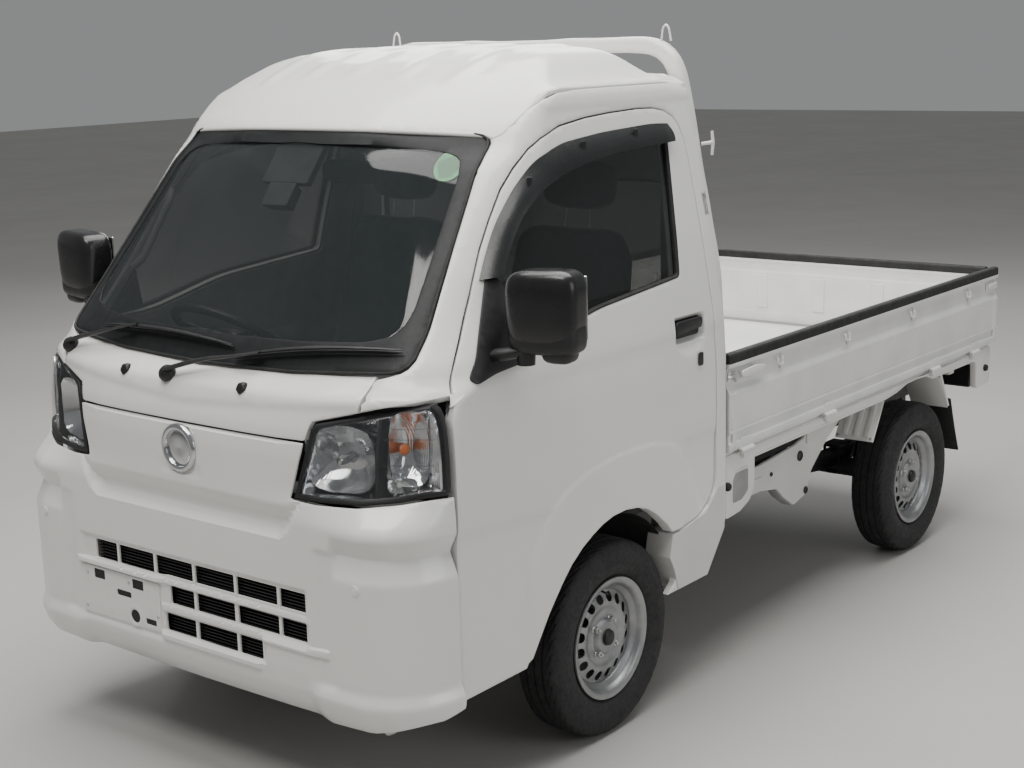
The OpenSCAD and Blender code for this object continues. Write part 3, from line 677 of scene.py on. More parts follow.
def bumper_disp(S):
    x, z = S[:, 0], S[:, 2]
    u = np.abs(x)
    q = np.stack([x, z], 1)
    # recess round the badge panel
    near = (z > 690) & (u < 450)
    d = np.zeros(len(S))
    if near.any():
        a = -signed(q[near], PANEL_IN)
        b = signed(q[near], PANEL_OUT)
        h = np.minimum(np.maximum(a, 0) * 0.62, np.maximum(b, 0) * 0.95)
        d[near] -= np.minimum(h, 25)
    # corner pods: groove above them, step at their inner edge, lip below
    side = sstep(u, 500, 516)
    g = np.interp(z, [634, 640, 689, 693, 732, 737], [0, -2, -22, -22, -2, 0])
    d += g * side
    d -= 6 * (1 - side) * window(z, 362, 694, 14) * sstep(u, 440, 470)
    lip = np.interp(z, [200, 338, 344, 366, 372], [13, 13, 12, 1, 0])
    d += lip * sstep(u, 405, 470)
    # grille recess and bars
    d -= 9 * window(z, 522, 588, 6) * window(x, -424, 424, 8)
    d -= 9 * window(z, 378, 524, 6) * window(x, -104, 424, 8) * (1 - sstep(x, 262, 275) * (1 - sstep(z, 440, 452)))
    d += 7 * window(z, 506, 522, 7) * window(x, -440, 424, 8)
    d += 7 * window(z, 433, 452, 7) * window(x, -112, 481, 8)
    d += 7 * window(z, 358, 378, 7) * window(x, -120, 252, 8)
    # plate carrier panel
    d -= 7 * window(z, 352, 506, 6) * window(x, -446, -112, 6)
    # badge dish
    r = np.hypot(x, (z - 877))
    d -= 4 * (1 - sstep(r, 58, 72)) + 4 * window(z, 812, 840, 8) * window(x, -70, 70, 14)
    return d


def cell(x0, x1, z0, z1, r=3.0):
    return fx(dense(rect(x0, x1, z0, z1, r), 22))


CELLS = [(-372, -286, 526, 577), (-277, -138, 526, 577), (-128, 12, 526, 577), (22, 164, 526, 577), (174, 315, 526, 577), (325, 411, 526, 577),
         (-78, 12, 456, 503), (23, 162, 456, 503), (175, 317, 456, 503), (327, 411, 456, 503),
         (-100, 12, 381, 427), (22, 164, 381, 427), (174, 255, 381, 427)]


def top_edge_bumper():
    return [(374, 803), (411, 937)]


def HL_TOP(x):
    return np.interp(x, [424, 560, 650, 700, 735], [985, 1018, 1036, 1046, 1052])


def WS_EDGE(z):
    return np.interp(z, [1127, 1182, 1265, 1367, 1477, 1537, 1590], [622, 619, 603, 584, 565, 554, 546])


def P3(x, z):
    """(y, z) of the nose surface at x, z"""
    p = front_base(fx([(x, z)]))[0]
    return (p[1], p[2])


def build_front():
    right = np.vstack([
        fx([(x, 258 + 8 * (x / 450) ** 2) for x in span(0, 450, 15)]),
        fx([(x, z) for x, z in zip(span(465, 690, 15), np.interp(span(465, 690, 15), [450, 600, 690], [266, 276, 296]))]),
        fy([(y, z) for y, z in zip(np.linspace(-1560, -1503, 8), np.linspace(300, 312, 8))]),
        fy([(-1500.5, z) for z in span(320, 822, 12)]),
        fx([(x, np.interp(x, [383, 450, 560, 650, 706], [803, 799, 803, 814, 823])) for x in np.linspace(704, 383, 28)]),
        fx([(374 + (z - 803) * 0.277, z) for z in span(806, 937, 10)]),
        fx([(x, 938) for x in span(405, 0, 15)]),
    ])
    rows = cuts([256, 10, 336, 5, 372, 7, 380, 5, 460, 5, 530, 6, 600, 10, 630, 6, 745, 6, 800, 8, 940])
    cols = cuts([-1000, 12, -560, 8, -330, 14, 330, 8, 560, 12, 1000])
    holes = [cell(*c) for c in CELLS]
    surf = displaced(front_base, bumper_disp)
    g = patch(surf, [mirror_loop(right)] + holes, cols, rows, thick=5.5, roll=2.0, closed=False)
    emit("bumper_cover", g, "truck", "white", ["front_bumper"], sharp=32)
    # black ribbed backing of the grille
    gb = Geo()
    for z in span(376, 582, 8.6):
        gb.add(*block(-372, 412, -1668, -1650, z - 1.6, z + 1.6, 1.0))
    gb.add(*block(-380, 420, -1652, -1644, 372, 588, 2))
    emit("grille_backing", gb, "truck", "black")

    # cowl panel below the windshield
    def cowl_disp(S):
        x, z = S[:, 0], S[:, 2]
        u = np.abs(x)
        d = 3.5 * sstep(z, 985 + u * 0.06, 1004 + u * 0.06) - 3.5
        d -= 5 * sstep(z, 1064 + 20 * (u / 590) ** 2, 1071 + 20 * (u / 590) ** 2)
        for c in (-217, 217):
            r = np.hypot(x - c, z - 1045)
            d += 1.5 * (1 - sstep(r, 20, 34))
        return d
    cowl = np.vstack([
        fx([(x, 944) for x in span(0, 405, 15)]),
        fx([(413 + (z - 947) * 0.29, z) for z in (947, 960, 972, 980)]),
        fx([(x, HL_TOP(x) + 4) for x in span(428, 540, 12)]),
        fx([(542, 1030), (544, 1048), (546, 1064), (548, 1080)]),
        fx([(x, np.interp(x, [0, 300, 540, 596], [1076, 1080, 1093, 1099])) for x in span(547, 0, 15)]),
    ])
    g = patch(displaced(front_base, cowl_disp), [mirror_loop(cowl)], cuts([-700, 11, 700]), cuts([944, 7, 1100]), thick=16, roll=2.5, closed=False)
    emit("cowl_panel", g, "truck", "white", ["front_panel"], sharp=35)

    # windshield: border, glass, rubber
    lo = lambda x: np.interp(abs(x), [0, 300, 540, 590], [1081, 1085, 1098, 1101])
    ws = np.vstack([
        fx([(x, lo(x)) for x in span(0, 560, 14)]),
        fx([(582, 1101), (600, 1106), (612, 1116), (617, 1132)]),
        fx([(WS_EDGE(z) - 5, z) for z in span(1146, 1580, 14)]),
        fx([(539, 1592), (533, 1603), (520, 1611)]),
        fx([(x, 1634 - 20 * (x / 510) ** 2) for x in span(500, 0, 14)]),
    ])
    ws = mirror_loop(ws)
    inner = np.vstack([
        fx([(x, lo(x) + 66) for x in span(0, 470, 14)]),
        fx([(500, lo(500) + 70), (540, 1176), (559, 1200), (563, 1232)]),
        fx([(np.interp(z, [1232, 1560], [563, 510]), z) for z in span(1246, 1520, 14)]),
        fx([(507, 1540), (498, 1556), (482, 1566), (462, 1572)]),
        fx([(x, 1594 - 20 * (x / 460) ** 2) for x in span(445, 0, 14)]),
    ])
    inner = mirror_loop(inner)
    glass = lambda d: (lambda P: (lambda SN: SN[0] - SN[1] * d)(frame_of(front_base, P)))
    emit("windshield_border", patch(glass(3.5), [ws, inner], cuts([-700, 16, 700]), cuts([1080, 16, 1640]), thick=5, roll=1.5), "truck", "frit", sharp=40)
    emit("windshield_glass", patch(glass(6), [inset(ccw(inner), -12)], cuts([-700, 30, 700]), cuts([1080, 30, 1640]), thick=4, roll=1.0), "truck", "shield", ["windshield"], sharp=40)
    rub = Geo()
    S, N = frame_of(front_base, np.vstack([ccw(ws), ccw(ws)[:1]]))
    rub.add(*tube(S - N * 2.0, 4.0, 8, cap=False))
    emit("windshield_rubber", rub, "truck", "rubber")
    # sensor housing behind the glass, top centre
    sh = Geo()
    pr = lambda x, z, d: tuple(glass(d)(fx([(x, z)]))[0])
    for (x0, x1, z0, z1, dd) in ((-85, 85, 1500, 1606, 26), (-48, 48, 1446, 1502, 38)):
        c = [pr(x0, z0, 12), pr(x1, z0, 12), pr(x1, z1, 12), pr(x0, z1, 12), pr(x0 + 8, z0 + 6, dd + 14), pr(x1 - 8, z0 + 6, dd + 14), pr(x1 - 8, z1, dd + 14), pr(x0 + 8, z1, dd + 14)]
        sh.add(c, fix(c, [(0, 1, 2, 3), (7, 6, 5, 4), (0, 4, 5, 1), (1, 5, 6, 2), (2, 6, 7, 3), (3, 7, 4, 0)]))
    o = emit("sensor_housing", sh, "truck", "cabin")
    bevel(o, 4)
    # round plain sticker at the windshield's upper corner
    c = fx([(480, 1546)])
    st = Geo()
    ring = [glass(5.2)(c + [[36 * math.cos(a), 36 * math.sin(a)]])[0] for a in np.linspace(0, 2 * math.pi, 28, endpoint=False)]
    ring2 = [glass(10.6)(c + [[36 * math.cos(a), 36 * math.sin(a)]])[0] for a in np.linspace(0, 2 * math.pi, 28, endpoint=False)]
    st.add(ring2, [tuple(range(28))])
    st.add(ring, [tuple(reversed(range(28)))])
    st.f += [(k, (k + 1) % 28, 28 + (k + 1) % 28, 28 + k) for k in range(28)]
    st.m += [None] * 28
    emit("inspection_disc", st, "truck", "sticker")


def bevel(o, w, seg=3, angle=35):
    b = o.modifiers.new("edge", "BEVEL")
    b.width = w * MM
    b.segments = seg
    b.limit_method = "ANGLE"
    b.angle_limit = math.radians(angle)
    b.harden_normals = False
    return o


# ---- doors
DOOR = [(-1490, 316), (-1490, 560), (-1490, 800), (-1490, 993), (-1480, 1030), (-1461, 1062), (-1429, 1113), (-1387, 1166), (-1319, 1257), (-1254, 1353), (-1204, 1419),
        (-1149, 1487), (-1101, 1533), (-1047, 1575), (-1002, 1598), (-920, 1623), (-806, 1637), (-694, 1644), (-560, 1648), (-490, 1646), (-440, 1637), (-405, 1620), (-383, 1594),
        (-368, 1550), (-363, 1500), (-359, 1200), (-355, 900), (-355, 620), (-358, 585), (-370, 558), (-392, 535), (-418, 520), (-480, 506), (-545, 499), (-590, 499)]
ARCH_C = (-853, 268)
ARCH = [(-620, 530), (-670, 570), (-712, 595), (-759, 611), (-815, 619), (-873, 617), (-920, 607), (-966, 590), (-1012, 568), (-1060, 536), (-1105, 494), (-1151, 437), (-1200, 372), (-1241, 316)]
WIN = [(-1384, 1092), (-1273, 1289), (-1192, 1396), (-1085, 1493), (-943, 1554), (-761, 1584), (-450, 1599), (-452, 1546), (-501, 1195), (-913, 1163), (-1180, 1100)]
FLARE = [(-1229, 568), (-1201, 624), (-1147, 686), (-1093, 730), (-1003, 760), (-863, 778), (-715, 778), (-602, 760), (-538, 731), (-473, 641), (-428, 526)]


def smooth_line(p, step=12):
    p = np.array(p, float)
    d = np.concatenate([[0], np.cumsum(np.linalg.norm(np.diff(p, axis=0), axis=1))])
    s = np.linspace(0, d[-1], int(d[-1] / step) + 1)
    q = np.stack([np.interp(s, d, p[:, 0]), np.interp(s, d, p[:, 1])], 1)
    for _ in range(6):
        q[1:-1] = q[1:-1] * 0.5 + (q[:-2] + q[2:]) * 0.25
    return q


FLARE_S = smooth_line(FLARE)
FLARE_POLY = np.vstack([FLARE_S, [(-428, 250), (-1229, 250)]])


def side_disp(S):
    y, z = S[:, 1], S[:, 2]
    q = np.stack([y, z], 1)
    d = np.zeros(len(S))
    # belt shoulder: the skin below it stands a little in
    d -= 3.0 * (1 - sstep(z, 1018, 1052))
    # lower character line
    line = np.interp(y, [-1500, -1305, -1129, -527, -348], [733, 716, 703, 752, 748])
    d -= 4.0 * (1 - sstep(z, line - 26, line + 6)) * (1 - sstep(y, -1160, -1090)) + 4.0 * (1 - sstep(z, line - 26, line + 6)) * sstep(y, -560, -500)
    near = (z < 800)
    if near.any():
        s = signed(q[near], FLARE_POLY)
        b = seg_dist(q[near], FLARE_S, closed=False)
        ins = s > 0
        f = np.where(ins, 7.5 * (1 - np.exp(-b / 10.0)) , 0)
        d[near] += f - 7.0 * (1 - sstep(z[near], 680, 800)) * 0.45
    # handle recess
    inh = window(y, -552, -407, 10) * window(z, 1021, 1082, 10)
    d -= 26 * inh
    # curved tick under the lock
    d += 1.6 * window(y, -524, -402, 10) * np.exp(-((z - (872 + ((y + 470) / 60) ** 2 * 4)) / 5.0) ** 2)
    # finger scoop below the handle
    r = np.hypot((y + 480) / 78, (z - 1010) / 30)
    d -= 9 * (1 - sstep(r, 0.45, 1.0)) * (z < 1030)
    for c in (-1400, -1288):
        d -= 0.5 * np.exp(-((y - c) / 2.5) ** 2) * window(z, 690, 1040, 30)
    return np.minimum(d, 0.6)


side_surf = displaced(side_base, side_disp)


def side_at(d):
    def s(P):
        S, N = frame_of(side_base, P, 4.0)
        return S - N * d
    return s


def build_doors():
    outline = ccw(dense(np.array(DOOR + ARCH), 16))
    win = ccw(dense(rounded(WIN, [18, 90, 90, 90, 120, 120, 24, 40, 16, 60, 60]), 14))
    cols = cuts([-1490, 13, -620, 9, -350])
    rows = cuts([300, 12, 660, 8, 800, 13, 1000, 7, 1090, 14, 1660])
    extra = []
    for off in (-26, -15, -8, -2, 4, 10, 17, 26):
        p = FLARE_S.copy()
        t = np.gradient(p, axis=0)
        t /= np.linalg.norm(t, axis=1)[:, None]
        extra.append(p + np.stack([-t[:, 1], t[:, 0]], 1) * off)
    skin = patch(side_surf, [outline, win], cols, rows, thick=34, roll=3.0, closed=False, extra=np.vstack(extra))
    # inside panel of the door
    def inner_surf(P):
        S = side_at(38)(P)
        y, z = S[:, 1], S[:, 2]
        d = 12 * window(y, -1290, -520, 40) * window(z, 700, 900, 40)      # padded field
        d += 26 * window(y, -1130, -600, 40) * window(z, 905, 950, 26)     # arm rest
        d += 22 * window(y, -1300, -640, 30) * window(z, 440, 640, 20) * (z > 640)
        S = S.copy()
        S[:, 0] -= d
        return S
    trim_out = inset(outline, 9)
    trim = patch(inner_surf, [trim_out, inset(win, -6)], cuts([-1490, 22, -350]), cuts([300, 14, 1660]), thick=4, roll=2.0, closed=True)
    # the face towards the cabin needs the sheet turned round
    rub = Geo()
    S, N = frame_of(side_base, np.vstack([win, win[:1]]), 4.0)
    inn, _ = frame_of(side_base, np.vstack([inset(win, 9), inset(win, 9)[:1]]), 4.0)
    n = len(S)
    prof = [(S + N * 0.4, 0), (S * 0.55 + inn * 0.45 + N * 0.4, 0), (inn - N * 4, 0), (inn - N * 15, 0), (S - N * 15, 0)]
    vs = np.vstack([p[0] for p in prof])
    fs = []
    for k in range(len(prof)):
        l = (k + 1) % len(prof)
        for i in range(n - 1):
            fs.append((k * n + i, k * n + i + 1, l * n + i + 1, l * n + i))
    rub.add(vs, fix(vs, fs))
    # window glass, set in from the skin
    glass = patch(side_at(10), [inset(win, 3)], cuts([-1400, 30, -430]), cuts([1080, 30, 1610]), thick=4, roll=1.0, closed=True)
    # mirror base triangle
    tri = ccw(dense(rounded([(-1414, 1076), (-1378, 1122), (-1264, 1302), (-1248, 1302), (-1190, 1096), (-1210, 1086), (-1330, 1078), (-1398, 1064)], [14, 10, 8, 8, 16, 12, 20, 14]), 12))
    def tri_surf(P):
        S, N = frame_of(side_base, P, 4.0)
        return S + N * 5.5
    tri_g = patch(tri_surf, [tri], cuts([-1450, 14, -1190]), cuts([1060, 14, 1270]), thick=10, roll=2.5, closed=True)
    # handle
    hx = float(side_base(np.array([[-480.0, 1050.0]]))[0][0])
    hd = Geo()
    hd.add(*prism(rounded([(-549, 1026), (-411, 1026), (-411, 1078), (-549, 1078)], 12), "X", hx - 25, hx - 18, 0))
    hp = []
    for y, z in rounded([(-546, 1040), (-414, 1046), (-413, 1076), (-545, 1076)], 12, 4):
        hp.append((y, z))
    hd.add(*prism(hp, "X", hx - 14, hx - 2.2, 3))
    hd.add(*prism(rounded([(-452, 941), (-428, 941), (-428, 979), (-452, 979)], 8), "X", hx + 6, hx + 9.5, 1.2))
    # visor over the window
    vis_line = smooth_line([(-1288, 1286), (-1242, 1352), (-1198, 1410), (-1120, 1490), (-1042, 1550), (-931, 1583), (-754, 1598), (-517, 1607), (-440, 1603)], 14)
    vin = smooth_line([(-1238, 1282), (-1196, 1342), (-1130, 1418), (-1050, 1474), (-930, 1514), (-761, 1538), (-440, 1552)], 14)
    m = min(len(vis_line), len(vin))
    ti = np.linspace(0, 1, m)
    def rs(p):
        u = np.linspace(0, 1, len(p))
        return np.stack([np.interp(ti, u, p[:, 0]), np.interp(ti, u, p[:, 1])], 1)
    A, B = rs(vis_line), rs(vin)
    SA, NA = frame_of(side_base, A, 4.0)
    SB, NB = frame_of(side_base, B, 4.0)
    ring = []
    for k in range(7):
        u = k / 6
        off = 3 + 17 * math.sin(u * math.pi * 0.62)
        ring.append(SA * (1 - u) + SB * u + NA * off)
    vs = np.vstack(ring + [r - NA * 3 for r in ring[::-1]])
    L = 14
    fs = []
    for k in range(L):
        l = (k + 1) % L
        for i in range(m - 1):
            fs.append((k * m + i, k * m + i + 1, l * m + i + 1, l * m + i))
    fs.append(tuple(k * m for k in range(L)))
    fs.append(tuple(k * m + m - 1 for k in reversed(range(L))))
    vis = Geo()
    vis.add(vs, fix(vs, fs))
    clips = Geo()
    for i in (int(m * 0.3), int(m * 0.55), int(m * 0.8)):
        c = ring[2][i]
        clips.add(*block(c[0] - 2, c[0] + 5, c[1] - 9, c[1] + 9, c[2] - 14, c[2] + 14, 3))
    # mirror
    mir, glassm = mirror_geo()
    rain = 0
    for sgn, nm in ((1, "left"), (-1, "right")):
        f = (lambda g: g) if sgn > 0 else (lambda g: g.mirrored())
        b = "door_" + nm
        emit("door_skin_" + nm, f(skin), b, "white", [b], sharp=38)
        emit("door_trim_" + nm, f(trim), b, "cabin_light", sharp=40)
        emit("window_rubber_" + nm, f(rub), b, "rubber", sharp=40)
        emit("window_glass_" + nm, f(glass), b, "glass", ["door_glass_" + nm], sharp=40)
        emit("mirror_base_" + nm, f(tri_g), b, "black", sharp=40)
        emit("door_handle_" + nm, f(hd), b, "black", sharp=40)
        emit("door_visor_" + nm, f(vis), b, "smoke", sharp=50)
        emit("visor_clips_" + nm, f(clips), b, "smoke")
        emit("mirror_shell_" + nm, f(mir), b, "mirror_black", ["mirror_" + nm], sharp=60)
        emit("mirror_glass_" + nm, f(glassm), b, "mirror_glass")


def superbox(c, h, yaw, p=5.0, n=26, taper=None):
    """rounded box by a superellipsoid, turned about z"""
    vs, fs = [], []
    for i in range(n + 1):
        th = -math.pi / 2 + math.pi * i / n
        for k in range(2 * n):
            ph = math.pi * k / n
            d = np.array([math.cos(th) * math.cos(ph), math.cos(th) * math.sin(ph), math.sin(th)])
            r = (np.abs(d) ** p).sum() ** (-1 / p)
            q = d * r * np.array(h)
            if taper:
                q = taper(q)
            vs.append(q)
    for i in range(n):
        for k in range(2 * n):
            l = (k + 1) % (2 * n)
            fs.append((i * 2 * n + k, i * 2 * n + l, (i + 1) * 2 * n + l, (i + 1) * 2 * n + k))
    return rot(np.array(vs), "Z", yaw) + np.array(c), fs


def mirror_geo():
    c = (846, -1290, 1234)
    g = Geo()

    def taper(q):
        x, y, z = q
        # front face bulges, lower chin pulls in
        t = (z + 100) / 200
        w = 1 - 0.10 * (1 - t) - 0.04 * t * t
        x = x * w
        if y < 0:
            y = y * (0.84 + 0.16 * math.cos(x / 96 * 1.2)) * (0.82 + 0.25 * t - 0.12 * t * t)
        z = z + 4 * (x / 96)
        return (x, y, z)
    g.add(*superbox(c, (97, 54, 93), 8, 4.8, 30, taper), "mirror_black")
    # lower part, set back, and chin
    g.add(*superbox((c[0], c[1] + 4, c[2] - 58), (90, 47, 46), 8, 4.5, 20), "black")
    g.add(*superbox((c[0] + 36, c[1] + 4, c[2] - 92), (40, 34, 30), 8, 3.4, 16), "black")
    # arm to the door
    p = arc_path([(713, -1318, 1118), (752, -1322, 1126), (800, -1312, 1138), (830, -1300, 1158)], 20, 5)
    v, f = tube(p, np.linspace(27, 20, len(p)), 14, True, 0.62)
    g.add(v, f, "black")
    v, f = tube([(800, -1308, 1104), (800, -1308, 1160)], [21, 24], 18)
    g.add(v, f, "black")
    gl = Geo()
    v, f = block(c[0] - 80, c[0] + 80, c[1] + 50, c[1] + 55, c[2] - 74, c[2] + 74, 2)
    gl.add(rot(v, "Z", 8, np.array(c)), f)
    return g, gl


# ---- cab sides, roof, back
DOME = table([(0, 116), (300, 109), (420, 98), (470, 86), (505, 66), (535, 38), (560, 17), (580, 7), (595, 2), (620, -10), (660, -34)], 9)
FRONT = table([(-1300, -230), (-1200, -84), (-1120, -22), (-1030, 30), (-930, 70), (-820, 98), (-700, 113), (-560, 117), (-505, 108), (-445, 70), (-395, 32), (-345, 4), (-300, 0)], 12)


def roof_z(x, y):
    u = np.abs(x)
    dome = DOME(u)
    front = FRONT(y - 0.00042 * u * u * sstep(-y, 650, 900) + 0.00010 * u * u * sstep(y, -600, -450))
    k = 26.0
    h = np.maximum(k - np.abs(dome - front), 0) / k
    m = np.minimum(dome, front) - h * h * k * 0.25
    z = 1716 + m - 8 * sstep(u, 590, 606)
    for c in (-340, -170, 0, 170, 340):
        z = z + 5.0 * np.exp(-((x - c) / 26.0) ** 4) * window(y, -1010, -470, 60) - 0.0
    return np.minimum(z, 1831.5)


def roof_surf(P):
    return np.stack([P[:, 0], P[:, 1], roof_z(P[:, 0], P[:, 1])], 1)


def build_cab():
    # roof skin
    def edge_y(x):
        return -1203 + 0.00037 * x * x
    half = [(x, edge_y(x)) for x in span(0, 528, 16)] + [(548, -1096), (566, -1080), (580, -1050), (591, -1000), (598, -930)]
    half += [(599, y) for y in span(-880, -330, 18)] + [(597, -312), (590, -303)] + [(x, -302) for x in span(575, 0, 16)]
    g = patch(roof_surf, [mirror_loop(half)], cuts([-620, 10, -440, 16, 440, 10, 620]), cuts([-1230, 14, -820, 22, -560, 11, -300]), thick=22, roll=4.0, closed=False)
    emit("roof_skin", g, "truck", "white", ["roof"], sharp=50)

    # side frame round the door: pillar, cantrail, rear strip
    foot = [P3(x, HL_TOP(x) + 4) for x in (722, 700, 670, 640, 610, 580, 548)]
    foot += [P3(546 + (z - 1025) * 0.1, z) for z in (1036, 1054, 1070)] + [P3(553, 1086)]
    wl = [P3(589, 1096), P3(604, 1101), P3(616, 1110), P3(622, 1127)] + [P3(WS_EDGE(z), z) for z in span(1150, 1580, 22)] + [P3(546, 1592), P3(540, 1602)]
    out = np.vstack([foot, wl, [(-1093, 1622), (-1060, 1640), (-1010, 1668), (-960, 1690), (-900, 1704), (-820, 1709), (-700, 1710), (-340, 1710), (-303, 1705),
                     (-302, 1300), (-302, 700), (-304, 470), (-312, 441), (-405, 327), (-420, 322), (-612, 322), (-579, 346), (-560, 385), (-552, 404), (-548, 440), (-552, 492)]])
    ring = inset(np.array(DOOR + ARCH)[::-1], -4.0)[::-1]
    top = [tuple(p) for p in ring[4:len(DOOR) - 1]] + [(-545, 493)]
    loop = np.vstack([out, np.array(top)[::-1]])
    loop = ccw(dense(loop, 16))
    def disp(S):
        z = S[:, 2]
        y = S[:, 1]
        d = -2.4 * (1 - sstep(z, 1018, 1052)) * (y > -800)
        d += 3.0 * window(z, 1668, 1720, 22) * sstep(y, -1060, -900)
        return np.minimum(d, 2.0)
    surf = displaced(side_base, disp)
    g = patch(surf, [loop], cuts([-1610, 13, -1050, 18, -370, 8, -300]), cuts([320, 14, 1640, 8, 1712]), thick=20, roll=3.0, closed=False)
    for sgn, nm in ((1, "left"), (-1, "right")):
        emit("cab_side_" + nm, g if sgn > 0 else g.mirrored(), "truck", "white", ["a_pillars"] if sgn > 0 else [], sharp=40)

    # back wall
    bw = [(0, 470)] + [(x, 470) for x in (300, 600, 700)] + [(733, 480), (734, 950), (724, 1070), (708, 1180), (688, 1300), (658, 1450), (630, 1590), (611, 1670), (600, 1706)]
    bw += [(570, 1722), (530, 1732), (400, 1738), (200, 1740), (0, 1740)]
    bw = mirror_loop(dense(np.array(bw), 40)[:-1] if False else np.array(bw))
    def back_surf(P):
        x, z = P[:, 0], P[:, 1]
        y = np.full(len(P), -302.0)
        for c in (-600, -450, -300, -150, 0, 150, 300, 450, 600):
            y += 0 * z
        y -= 5 * window(z, 720, 1010, 30) * window(np.abs(x), 60, 300, 30)
        y -= 5 * window(z, 720, 1010, 30) * window(np.abs(x), 340, 600, 30)
        return np.stack([x, y, z], 1)
    wn = ccw(rounded([(-556, 1084), (556, 1084), (548, 1438), (-548, 1438)], [40, 40, 55, 55], 8))
    g = patch(lambda P: back_surf(P), [ccw(dense(bw, 30)), ccw(dense(wn, 25))], cuts([-740, 15, 740]), cuts([470, 15, 1740]), thick=-0.01 + 24, roll=3, closed=True)
    # normal of this plane points to -y or +y by parameter order; make it face rearward
    emit("back_wall_skin", flipped_y(g, -302.0), "truck", "white", ["back_wall"], sharp=35)
    gl = Geo()
    gl.add(*prism(inset(wn, 8), "Y", -316, -311, 1.0))
    emit("rear_glass", gl, "truck", "glass", ["rear_window"])
    rb = Geo()
    p = np.array([(x, -304, z) for x, z in inset(wn, 3)] + [(wn[0][0] * 0.995, -304, wn[0][1] + 3)])
    p[-1] = p[0]
    rb.add(*tube(p, 8.5, 8, cap=False))
    emit("rear_glass_rubber", rb, "truck", "rubber")
    bars = Geo()
    for z in (1150, 1210, 1270, 1330):
        bars.add(*tube([(-545, -297, z), (-540, -291, z), (540, -291, z), (545, -297, z)], 5, 8))
    # inner shell: headliner and pillar trim so that the cabin isn't hollow behind the skins
    hl = patch(lambda P: np.stack([P[:, 0], P[:, 1], np.minimum(roof_z(P[:, 0], P[:, 1]), 1800) - 34 - 0.00005 * P[:, 0] ** 2], 1),
               [mirror_loop([(x, edge_y(x) + 34) for x in span(0, 500, 25)] + [(530, -1060), (545, -1000), (552, -900), (555, -700), (555, -345), (540, -335)] + [(x, -335) for x in span(520, 0, 25)])],
               cuts([-560, 30, 560]), cuts([-1200, 30, -330]), thick=3, roll=1, closed=True)
    emit("headliner", hl, "truck", "headliner", sharp=60)
    inner = patch(side_at(22), [ccw(dense(inset(loop, 6), 18))], cuts([-1610, 24, -300]), cuts([320, 24, 1712]), thick=5, roll=1.0, closed=True)
    for sgn, nm in ((1, "left"), (-1, "right")):
        emit("pillar_trim_" + nm, inner if sgn > 0 else inner.mirrored(), "truck", "cabin", sharp=60)


def flipped_y(g, y0):
    """mirrors a panel about the plane y = y0 if its thickness went the wrong way"""
    v = np.array(g.v)
    if v[:, 1].max() > y0 + 6:
        v[:, 1] = 2 * y0 - v[:, 1]
        o = Geo()
        o.v = [tuple(p) for p in v]
        o.f = [tuple(reversed(q)) for q in g.f]
        o.m = list(g.m)
        return o
    return g


# ---------------------------------------------------------------- wheels
TYRE_PROFILE = [(-50, 155), (-52, 170), (-59, 176), (-63, 183), (-66, 190), (-69.5, 205), (-70.5, 216), (-70, 230), (-67, 243), (-63, 252), (-58, 259), (-53, 263.5)]


def tyre_geo():
    n = 200
    tread = []
    for s in np.arange(-50, 50.1, 2.0):
        tread.append(float(s))
    base = TYRE_PROFILE + [(s, 267.6 - 3.2 * (abs(s) / 52) ** 4) for s in tread] + [(-s, r) for s, r in TYRE_PROFILE[::-1]]
    base += [(46, 150.5), (-46, 150.5)]
    vs, fs = [], []
    m = len(base)
    for i in range(n):
        a = 2 * math.pi * i / n
        for s, r in base:
            u = abs(s)
            if r > 258 and u < 56:
                for c, w in ((-26, 3.2), (0, 3.6), (26, 3.2)):
                    if abs(s - c) < w:
                        r -= 5.5
                        break
                else:
                    ph = (i + int(s * 0.35)) % 5
                    if u > 33 and ph == 0:
                        r -= 4.0
                    elif 8 < u < 22 and (i + int(s * 0.7)) % 5 == 2:
                        r -= 3.0
            elif 240 < r <= 258 and i % 5 == 0:
                r -= 1.2
            elif 200 < r < 232:
                s = s * (1.0 + 0.004 * math.sin(a * 2))
            vs.append((s, r * math.cos(a), r * math.sin(a)))
    for i in range(n):
        j = (i + 1) % n
        for k in range(m):
            l = (k + 1) % m
            fs.append((i * m + k, i * m + l, j * m + l, j * m + k))
    return np.array(vs), fix(vs, fs)


DISC = ([18, 22, 42, 46, 50, 56, 74, 80, 88, 100, 118, 128], [44, 45.5, 45, 41, 33, 30, 30, 33, 36, 34, 26, 26])


